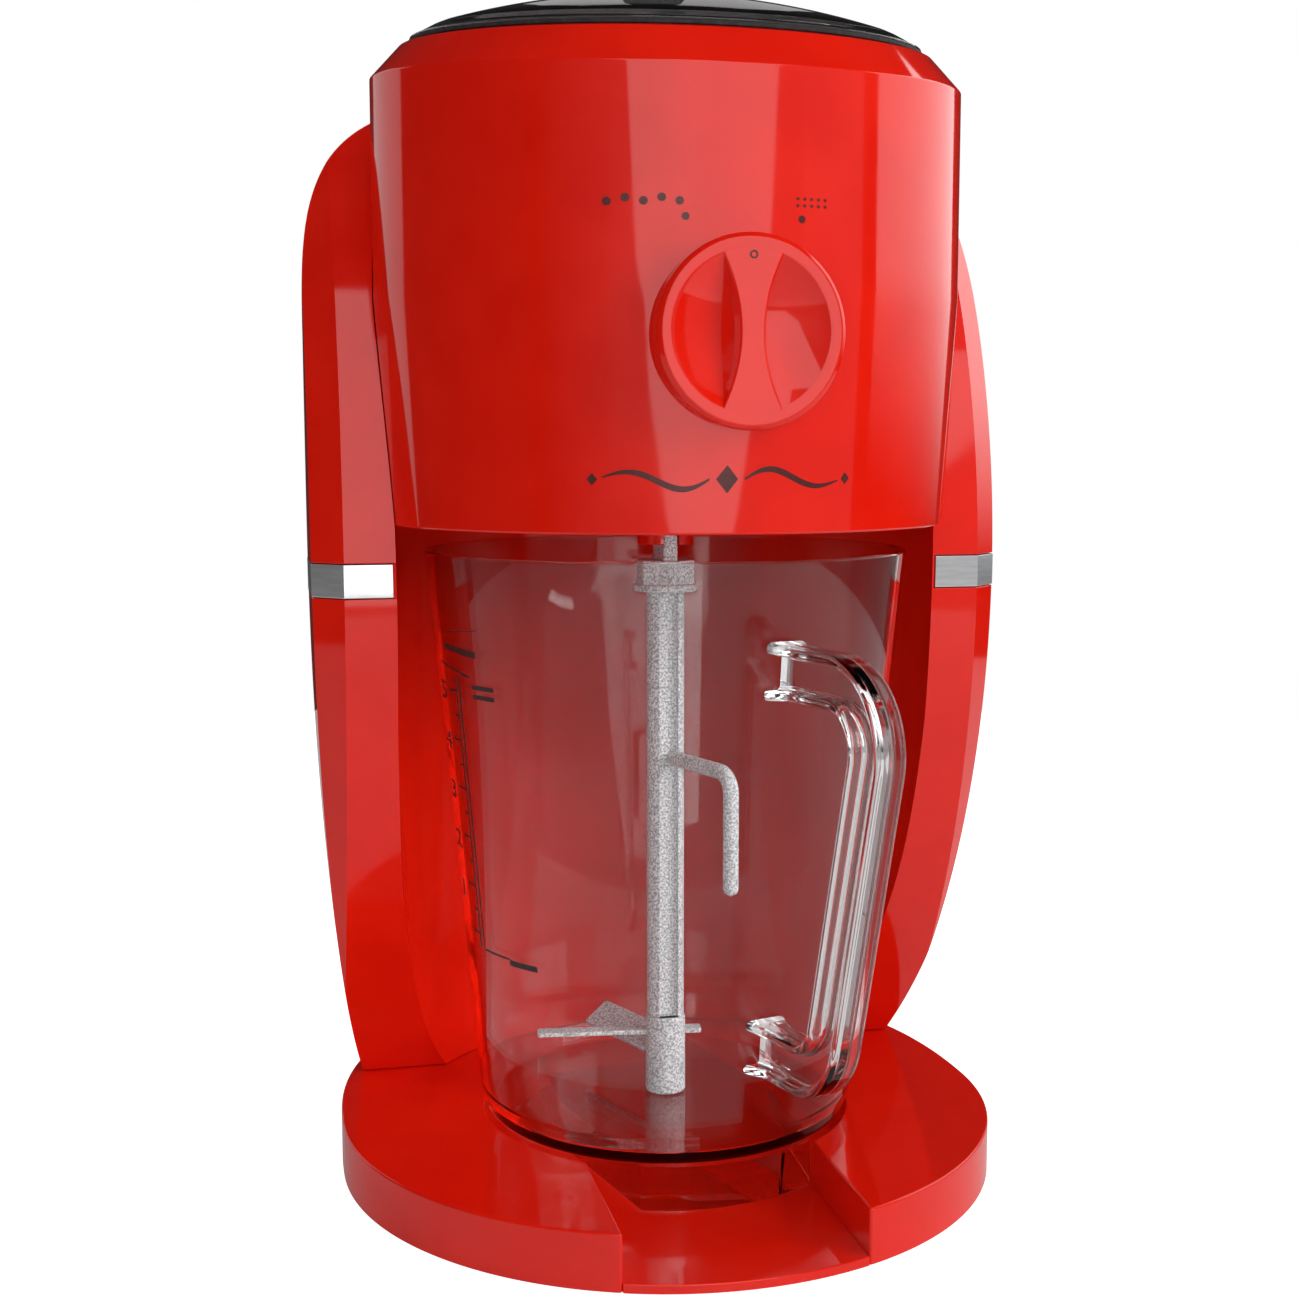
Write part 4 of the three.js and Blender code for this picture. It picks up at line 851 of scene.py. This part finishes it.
# ---------- knob
def make_knob():
    face = KNOB_FACE
    rim = fillet([(0, KNOB_BACK), (KNOB_RADIUS - 0.4, KNOB_BACK), (KNOB_RADIUS, face + 1.2),
                  (KNOB_RADIUS - 1.4, face), (WELL_RADIUS, face)], [0, 0.4, 1.4, 1.2, 0], 8, closed=False)
    for i in range(1, 33):
        share = i / 32
        rim.append((WELL_RADIUS * (1 - share), face + WELL_DEPTH * (1 - (1 - share) ** 2)))
    disc = lathe("knob_disc", rim, 192, (0, KNOB_Z), "Y")
    dimple = lathe("dimple", [(0, face - 1), (1.25, face - 1), (1.25, face + 0.8), (0, face + 0.8)], 32,
                   (0, KNOB_Z + POINTER_REACH), "Y")
    bar_outline = hourglass(WELL_RADIUS + 1.6, 11.4, 3.9)
    bar = prism("knob_grip", bar_outline, -(face + WELL_DEPTH + 0.2), -(face + 0.03), 0.1, 0.9, 5,
                place=lambda p: (p[0], -p[2], p[1] + KNOB_Z))
    dress(carve(disc, dimple), "grain_control", "red_shell", ["grain_knob"])
    dress(bar, "grain_control", "red_shell")
    ring = [(1.25, face + 0.5), (1.25, face - 0.12), (0.75, face - 0.12), (0.75, face + 0.5)]
    pointer = lathe("knob_pointer", ring + ring[:1], 40, (0, KNOB_Z + POINTER_REACH), "Y")
    dress(pointer, "grain_control", "dark_plastic", material=ink)


def hourglass(reach, wide, waist):
    right = []
    for i in range(33):
        v = lerp(-1, 1, i / 32)
        right.append((lerp(waist, wide, v * v), v * reach))
    left = [(-x, y) for x, y in reversed(right)]
    return right + left


# ---------- pitcher
def make_pitcher():
    spout_angle = math.pi / 2 + math.radians(HANDLE_ANGLE)
    spout = Vector((math.cos(spout_angle), math.sin(spout_angle)))

    def poured(point):
        """Draws the rim out into a V spout opposite the handle."""
        flat = Vector(point[:2])
        sideways = abs(flat.x * spout.y - flat.y * spout.x)
        if flat.dot(spout) <= 0 or sideways > SPOUT_HALF or point[2] < SPOUT_START:
            return point
        rise = (point[2] - SPOUT_START) / (PITCHER_RIM - SPOUT_START)
        flat += spout * (SPOUT_REACH * rise * (1 - sideways / SPOUT_HALF))
        return (flat.x, flat.y, point[2])

    outer = [(0, PITCHER_BOTTOM)] + fillet(
        [(0, PITCHER_BOTTOM), (PITCHER_RADIUS_BOTTOM, PITCHER_BOTTOM), (PITCHER_RADIUS_HEEL, PITCHER_HEEL_Z),
         (PITCHER_RADIUS_RIM, PITCHER_RIM), (PITCHER_RADIUS_RIM - WALL, PITCHER_RIM)],
        [0, 4, 8, 0.9, 0.9], 8, closed=False)[1:-1]
    floor = PITCHER_BOTTOM + PITCHER_FLOOR
    inner = [(PITCHER_RADIUS_RIM - WALL, PITCHER_RIM - 0.6), (PITCHER_RADIUS_HEEL - WALL, PITCHER_HEEL_Z + 1),
             (PITCHER_RADIUS_HEEL - WALL - 3.4, floor + 0.2), (0, floor)]
    inner = fillet(inner, [0, 6, 3, 0], 8, closed=False)
    rings = []
    for radius, z in subdivided(outer + inner, 5):
        ring = []
        for i in range(ROUND):
            a = spout_angle + math.tau * i / ROUND
            ring.append(poured((radius * math.cos(a), radius * math.sin(a), z)))
        rings.append(ring)
    dress(link("pitcher_body", *skin(rings)), "pitcher", "clear_plastic", ["pitcher_jug"])

    make_handle()
    low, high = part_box("pitcher_foot_key")
    key = key_outline((high.x - low.x) / 2 / MM)
    dress(prism("pitcher_key", key, low.z / MM, high.z / MM, 0.6, 0.2),
          "pitcher", "clear_plastic", ["pitcher_foot_key"], key_clear)
    make_scale()


def key_outline(half_width):
    """A disc with two flats that follow the handle, trimmed to the channel's width."""
    side = Vector((math.cos(math.radians(HANDLE_ANGLE)), math.sin(math.radians(HANDLE_ANGLE))))
    count = 240
    outline = []
    for i in range(count):
        a = math.tau * i / count
        direction = Vector((math.cos(a), math.sin(a)))
        reach = PITCHER_RADIUS_BOTTOM
        across = abs(direction.dot(side))
        if across > 1e-6:
            reach = min(reach, FOOT_KEY_HALF / across)
        if abs(direction.x) > 1e-6:
            reach = min(reach, half_width / abs(direction.x))
        outline.append(tuple(direction * reach))
    return outline


def make_handle():
    at_top = (pitcher_radius(HANDLE_UPPER) + 0.5, HANDLE_UPPER)
    at_low = (pitcher_radius(HANDLE_LOWER) + 0.5, HANDLE_LOWER)
    corners = [at_top, (HANDLE_OUT_TOP, HANDLE_UPPER), (HANDLE_OUT_LOW, HANDLE_LOWER), at_low]
    path = subdivided(fillet(corners, [0, 20, 18, 0], 16, closed=False), 3)
    deep, wide, flange, web = 8.6, 5.2, 3.4, 1.4
    section = fillet(
        [(-deep, -wide), (-deep + flange, -wide), (-deep + flange, -web), (deep - flange, -web),
         (deep - flange, -wide), (deep, -wide), (deep, wide), (deep - flange, wide), (deep - flange, web),
         (-deep + flange, web), (-deep + flange, wide), (-deep, wide)],
        [1.6, 1.2, 1.0, 1.0, 1.2, 1.6] * 2, 5)

    def flare(share):
        near = min(share, 1 - share)
        lift = max(1 - near / 0.035, 0) ** 2
        return (1 + 0.12 * lift, 1 + 0.45 * lift)

    def meet_wall(point):
        radius = pitcher_radius(point[2]) + GAP
        return (point[0], -math.sqrt(radius ** 2 - point[0] ** 2), point[2])

    handle = sweep("pitcher_grip", section, path, HANDLE_ANGLE, meet_wall, flare)
    dress(handle, "pitcher", "clear_plastic", ["pitcher_handle"], handle_clear)


def make_scale():
    """A generic printed measure: a double rule with ticks, short bars and plain digits."""
    strokes = [line_strip((s, 87), (s, 182), 0.9, 24) for s in (-1.3, 1.3)]
    strokes += [line_strip((1.3, 87), (17, 87), 0.7, 10), line_strip((-14, 186), (9, 183), 0.8, 8)]
    strokes += [line_strip((-9, 192), (14, 190.6), 2.2, 10), line_strip((-7, 197), (16, 199), 0.35, 8)]
    for k in range(11):
        z = 92 + k * 8.5
        strokes.append(line_strip((-1.3, z), (-4.6 if k % 2 else -8.0, z), 0.7, 3))
    strokes += [line_strip((10, 176.5 + 3.2 * k), (22, 176.5 + 3.2 * k), 1.5, 5) for k in range(2)]
    strokes += [line_strip((17, 85.8), (30, 85.8), 2.0, 6)]
    dress(printed("scale_rules", strokes, on_pitcher), "pitcher", "dark_plastic", material=scale_ink)
    for digit in range(1, 6):
        text = bpy.data.curves.new(f"digit_{digit}", "FONT")
        text.body = str(digit)
        text.size = 9
        text.extrude = 0.05
        holder = add_object(f"digit_holder_{digit}", text)
        graph = bpy.context.evaluated_depsgraph_get()
        flat = bpy.data.meshes.new_from_object(holder.evaluated_get(graph))
        bpy.data.objects.remove(holder)
        z0 = 85 + digit * 17.6
        verts = [on_pitcher(2 * v.co.x - 20, v.co.y + z0, v.co.z + 0.04) for v in flat.vertices]
        faces = [tuple(p.vertices) for p in flat.polygons]
        dress(link(f"scale_digit_{digit}", verts, faces, 60), "pitcher", "dark_plastic", material=scale_ink)


# ---------- stirrer
def make_stirrer():
    side = math.degrees(math.asin(STIRRER_NOTCH / STIRRER_RADIUS))
    outline = arc(STIRRER_RADIUS, -90 + side, 270 - side, 72)
    outline += [(-STIRRER_NOTCH, -3.8), (STIRRER_NOTCH, -3.8)]
    shaft = fillet(outline, [0.5] + [0] * 71 + [0.5, 0.4, 0.4], 3)
    dress(prism("stirrer_tube", shaft, HUB_TOP + 0.1, FLANGE_BOTTOM + 0.2, 0.2, 0.2),
          "stirrer", "grey_nylon", ["stirrer_shaft"])
    collar = band_profile(0, FLANGE_RADIUS, FLANGE_BOTTOM, HEX_BOTTOM + 0.1, [0, 0.6, 0.6, 0])
    dress(lathe("stirrer_collar", collar, 96), "stirrer", "grey_nylon")
    hexagon = []
    for k in reversed(range(6)):
        a = math.radians(60 * k)
        hexagon.append((HEX_RADIUS * math.sin(a), HEX_RADIUS * math.cos(a)))
    hexagon = fillet(hexagon, 0.8, 4)
    dress(prism("stirrer_hex", hexagon, HEX_BOTTOM, HEX_TOP, 0.2, 0.6), "stirrer", "grey_nylon")
    tenon = plate(-TENON_HALF, TENON_HALF, -TENON_REACH, TENON_REACH, 0.7)
    dress(prism("stirrer_tenon", tenon, HEX_TOP - 0.1, TENON_TOP, 0.05, 0.6), "stirrer", "grey_nylon")

    hub = fillet([(PIVOT_BORE, HUB_BOTTOM), (HUB_RADIUS, HUB_BOTTOM), (HUB_RADIUS, HUB_TOP), (0, HUB_TOP),
                  (0, PIVOT_TOP), (PIVOT_BORE, PIVOT_TOP)],
                 [0.2, 0.5, 0.9, 0, 0, 0.2], 4)
    dress(lathe("stirrer_sleeve", hub + hub[:1], 96), "stirrer", "grey_nylon", ["stirrer_hub"])

    hook = fillet([(6.5, HOOK_Z), (HOOK_REACH, HOOK_Z), (HOOK_REACH, HOOK_END)], [0, HOOK_BEND, 0], 12,
                  closed=False)
    hook = subdivided(hook, 1.2)

    def rounded_tip(share):
        left = (1 - share) * (len(hook) - 1) * 1.1
        size = math.sqrt(max(1 - (1 - min(left / HOOK_WIRE_RADIUS, 1)) ** 2, 0.0004))
        return (size, size)

    wire = arc(HOOK_WIRE_RADIUS, 0, 345, 23)
    rod = sweep("stirrer_rod", wire, hook, HOOK_ANGLE, None, rounded_tip)
    dress(rod, "stirrer", "grey_nylon", ["stirrer_hook"])

    def lay(angle, z, tilt=0):
        """Moves a flat arm out to the hub's side, tilts it about its length and turns it about the axis."""
        cos, sin = math.cos(math.radians(tilt)), math.sin(math.radians(tilt))

        def place(point):
            x, y, t = point
            return turn((x + ARM_START, y * cos - t * sin, y * sin + t * cos + z), angle)
        return place

    blade = prism("stirrer_blade", plate(-0.6, PADDLE_REACH - ARM_START, -PADDLE_HALF, PADDLE_HALF, 1.2),
                  -PADDLE_HALF_THICKNESS, PADDLE_HALF_THICKNESS, 0.4, 0.4,
                  place=lay(PADDLE_ANGLE, PADDLE_Z, PADDLE_PITCH))
    dress(blade, "stirrer", "grey_nylon", ["stirrer_paddle"])
    bar = prism("stirrer_cross_bar", plate(-0.6, BAR_REACH - ARM_START, -BAR_HALF, BAR_HALF, 1),
                -BAR_HALF_THICKNESS, BAR_HALF_THICKNESS, 0.3, 0.3, place=lay(BAR_ANGLE, BAR_Z))
    dress(bar, "stirrer", "grey_nylon", ["stirrer_bar"])
    stub = prism("stirrer_cross_stub", plate(-0.6, 5.5, -BAR_HALF, BAR_HALF, 1),
                 -BAR_HALF_THICKNESS, BAR_HALF_THICKNESS, 0.3, 0.3, place=lay(BAR_ANGLE - 180, BAR_Z))
    dress(stub, "stirrer", "grey_nylon")


# ---------- lid and what shows under it
def make_lid():
    def dome(radius):
        return DOME_TOP - DOME_SAG * radius ** 2 - DOME_DROP * smoothstep(radius, 79, DOME_RADIUS)

    outer = [(r, dome(r)) for r in [DOME_RADIUS * (1 - k / 40) for k in range(41)]]
    inner = [(r, dome(r) - DOME_WALL) for r in [SKIRT_INSIDE * k / 36 for k in range(37)]]
    skirt = [(SKIRT_INSIDE, 390), (SKIRT_INSIDE, SKIRT_LOW), (SKIRT_RADIUS, SKIRT_LOW), (SKIRT_RADIUS, 395.3),
             (DOME_RADIUS, 395.3)]
    radii = [0] * len(inner) + [0, 0.8, 0.8, 0.6, 0.4, 0]
    profile = fillet(inner + skirt + outer[:1], radii, 4, closed=False)
    profile += [(DOME_RADIUS - 0.1, dome(DOME_RADIUS))] + outer[1:]
    dress(lathe("lid_cover", profile, ROUND, slanted=True), "lid", "smoked_plastic", ["lid_dome"])
    seal = band_profile(SKIRT_RADIUS + 0.4, DOME_RADIUS + 0.5, SEAL_LOW, SEAL_HIGH, 0.35, 3)
    dress(lathe("lid_gasket", seal + seal[:1], ROUND, slanted=True), "lid", "rubber", ["lid_seal"])
    top = dome(0) - 3.4
    knob_top = LID_POST_LOW + 5
    stem = fillet([(0, LID_POST_LOW), (9, LID_POST_LOW), (9, knob_top), (5, knob_top), (5, top), (0, top)],
                  [0, 0.8, 1.2, 1.5, 0.5, 0], 5)
    dress(lathe("lid_stem", stem, 96), "lid", "dark_plastic", ["lid_post"])


def make_ice_drive():
    hub = band_profile(SPINDLE_RADIUS + GAP, IMPELLER_RADIUS, IMPELLER_LOW, IMPELLER_HIGH,
                       [0.3, 0.8, 2, 0.4], 5)
    dress(lathe("impeller_hub", hub + hub[:1], 96), "spindle", "white_plastic", ["ice_impeller"])
    for arm in range(3):
        angle = 30 + arm * 120
        vane = prism(f"impeller_vane_{arm}", plate(IMPELLER_RADIUS - 0.5, VANE_REACH, -1.6, 1.6, 1.4),
                     IMPELLER_LOW, VANE_TOP, 0.6, 1.2, place=lambda p, angle=angle: turn(p, angle))
        dress(vane, "spindle", "white_plastic")
    hexagon = [(6.8 * math.cos(math.radians(60 * k)), 6.8 * math.sin(math.radians(60 * k))) for k in range(6)]
    dress(prism("lock_nut", fillet(hexagon, 0.3, 2), 345.3, 350, 0.5, 0.9), "spindle", "zinc",
          ["impeller_nut"])
    shaft = band_profile(0, SPINDLE_RADIUS, SOCKET_HIGH + GAP, SPINDLE_TOP, [0, 0.5, 0.5, 0], 3)
    dress(lathe("spindle_rod", shaft, 64), "spindle", "steel", ["drive_spindle"])
    socket = band_profile(0, SOCKET_RADIUS, SOCKET_LOW, SOCKET_HIGH, [0, 0.6, 0.6, 0])
    coupling = lathe("drive_socket", socket, 96)
    carve(coupling, block("socket_slot", -TENON_HALF - GAP, TENON_HALF + GAP, -20, 20, 200, TENON_TOP + GAP))
    dress(coupling, "spindle", "red_shell", ["drive_coupling"])


# ---------- CAD pieces that stay
def slot_of(name):
    wanted = {
        "steel": ("guide_post", "shaving_blade", "rotor_shaft", "knob_shaft", "pin"),
        "zinc": ("screw", "motor_can", "motor_bracket"),
        "brass": ("bearing", "pulley_small"),
        "rubber": ("grommet", "belt"),
        "dark_plastic": ("bottom_cover", "bezel", "rocker", "end_cap", "fan"),
        "red_shell": ("shell",),
    }
    for slot, words in wanted.items():
        if any(word in name for word in words):
            return slot
    return "white_plastic"


def finish_cad_nodes():
    for name, node in nodes.items():
        if node.hide_render:
            continue
        slot = slot_of(name)
        node.data.materials.clear()
        node.data.materials.append(SLOTS[slot])
        planar = node.modifiers.new("planar", "DECIMATE")
        planar.decimate_type = "DISSOLVE"
        planar.angle_limit = math.radians(1)
        bevel = node.modifiers.new("edges", "BEVEL")
        bevel.width = 0.0003
        bevel.segments = 2
        bevel.limit_method = "ANGLE"
        bevel.angle_limit = math.radians(30)


# ---------- stage
def softbox(name, corners, strength, fade=None):
    """A glowing card, seen only in reflections; corners in metres. fade is (axis, dark end, bright end)."""
    mesh = bpy.data.meshes.new(name)
    mesh.from_pydata(corners, [], [tuple(range(len(corners)))])
    card = add_object(name, mesh)
    material = bpy.data.materials.new(name)
    material.use_nodes = True
    tree = material.node_tree
    tree.nodes.clear()
    glow = shader(tree, "ShaderNodeEmission", Strength=strength)
    if fade:
        place = tree.nodes.new("ShaderNodeNewGeometry")
        split = tree.nodes.new("ShaderNodeSeparateXYZ")
        axis, dark_end, bright_end = fade
        ease = shader(tree, "ShaderNodeMapRange", From_Min=dark_end, From_Max=bright_end, To_Max=strength)
        ease.interpolation_type = "SMOOTHSTEP"
        tree.links.new(place.outputs["Position"], split.inputs["Vector"])
        tree.links.new(split.outputs[axis], ease.inputs["Value"])
        tree.links.new(ease.outputs["Result"], glow.inputs["Strength"])
    output = tree.nodes.new("ShaderNodeOutputMaterial")
    tree.links.new(glow.outputs["Emission"], output.inputs["Surface"])
    mesh.materials.append(material)
    card.visible_camera = False
    card.visible_diffuse = False


def area_light(name, place, target, width, height, power):
    data = bpy.data.lights.new(name, "AREA")
    data.shape = "RECTANGLE"
    data.size = width
    data.size_y = height
    data.energy = power
    lamp = add_object(name, data)
    lamp.location = place
    lamp.rotation_mode = "QUATERNION"
    lamp.rotation_quaternion = (Vector(target) - Vector(place)).to_track_quat("-Z", "Y")
    lamp.visible_camera = False
    return lamp


def make_world():
    """White to the camera, a dimmer grey as light and through clear parts, nearly black in reflections."""
    world = bpy.data.worlds.new("studio")
    bpy.context.scene.world = world
    world.use_nodes = True
    tree = world.node_tree
    tree.nodes.clear()
    path = tree.nodes.new("ShaderNodeLightPath")
    output = tree.nodes.new("ShaderNodeOutputWorld")

    def background(level):
        return shader(tree, "ShaderNodeBackground", Color=(level, level, level, 1)).outputs["Background"]

    def mix(factor, first, second):
        node = tree.nodes.new("ShaderNodeMixShader")
        tree.links.new(factor, node.inputs[0])
        tree.links.new(first, node.inputs[1])
        tree.links.new(second, node.inputs[2])
        return node.outputs[0]

    through = tree.nodes.new("ShaderNodeMath")
    through.operation = "SUBTRACT"
    through.use_clamp = True
    tree.links.new(path.outputs["Is Glossy Ray"], through.inputs[0])
    tree.links.new(path.outputs["Is Transmission Ray"], through.inputs[1])
    light = mix(through.outputs["Value"], background(0.42), background(0.02))
    seen = mix(path.outputs["Is Camera Ray"], light, background(1.0))
    tree.links.new(seen, output.inputs["Surface"])


def make_stage():
    make_world()
    circle = [(x, y, 0) for x, y in arc(FLOOR_RADIUS, 0, 360, 96)[:-1]]
    floor_mesh = bpy.data.meshes.new("floor")
    floor_mesh.from_pydata(circle, [], [tuple(range(len(circle)))])
    floor = add_object("floor", floor_mesh)
    pale = procedural("pale_floor", (0.78, 0.78, 0.78), (0.82, 0.82, 0.82), 3, (0.6, 0.7), 8, 40, 0.02)
    bsdf = pale.node_tree.nodes["Principled BSDF"]
    bsdf.inputs["Emission Color"].default_value = (1, 1, 1, 1)
    path = pale.node_tree.nodes.new("ShaderNodeLightPath")
    pale.node_tree.links.new(path.outputs["Is Camera Ray"], bsdf.inputs["Emission Strength"])
    floor_mesh.materials.append(pale)
    card_right = [(0.25, 0.03), (0.44, 0.18), (0.58, 0.5), (0.95, 1.4), (0.3, 1.4), (0.18, 1.95)]
    card_left = [(-x, z) for x, z in reversed(card_right)]
    softbox("front_card", [(x, -1.25, z) for x, z in card_right + card_left], 2.0)
    softbox("front_glow", [(-4.5, -2.0, -0.8), (4.2, -2.0, -0.8), (4.2, -2.0, 3), (-4.5, -2.0, 3)], 0.34,
            ("X", -4.0, 0.2))
    softbox("right_card", [(1.30, -0.48, 0.1), (1.00, 0.80, 0.1), (1.00, 0.80, 1.3), (1.30, -0.48, 1.3)], 1.8,
            ("Z", 0.1, 0.5))
    softbox("rear_left_card",
            [(-0.45, 1.45, 0.05), (-1.15, 0.95, 0.05), (-1.15, 0.95, 1.2), (-0.45, 1.45, 1.2)], 0.6)
    softbox("rear_high_left", [(0.23, 2, 1.15), (0.40, 2, 1.15), (0.40, 2, 2), (0.23, 2, 2)], 0.5)
    softbox("rear_high_right", [(0.54, 2, 1.15), (0.77, 2, 1.15), (0.77, 2, 2), (0.54, 2, 2)], 0.5)
    lamps = [
        area_light("top_light", (0.2, -0.3, 1.9), (0, 0, 0.1), 1.4, 1.4, 5),
        area_light("key_light", (1.3, -1.0, 0.8), (0, 0, 0.2), 0.9, 0.9, 15),
        area_light("fill_light", (-0.5, -1.6, 0.35), (0, 0, 0.15), 1.0, 0.6, 8),
    ]
    for lamp in lamps:
        lamp.visible_glossy = False


def make_camera():
    data = bpy.data.cameras.new("camera")
    data.sensor_width = 36
    data.lens = 50.23
    data.shift_x = -0.0126
    camera = add_object("camera", data)
    camera.location = (-0.1521, -0.6288, 0.2606)
    camera.rotation_euler = (math.radians(83.49), 0, math.radians(-13.6))
    bpy.context.scene.camera = camera


make_camera()
make_stage()
make_base()
make_feet()
make_column()
make_head()
make_marks()
make_knob()
make_pitcher()
make_stirrer()
make_lid()
make_ice_drive()
finish_cad_nodes()
bpy.context.scene.view_settings.view_transform = "Standard"
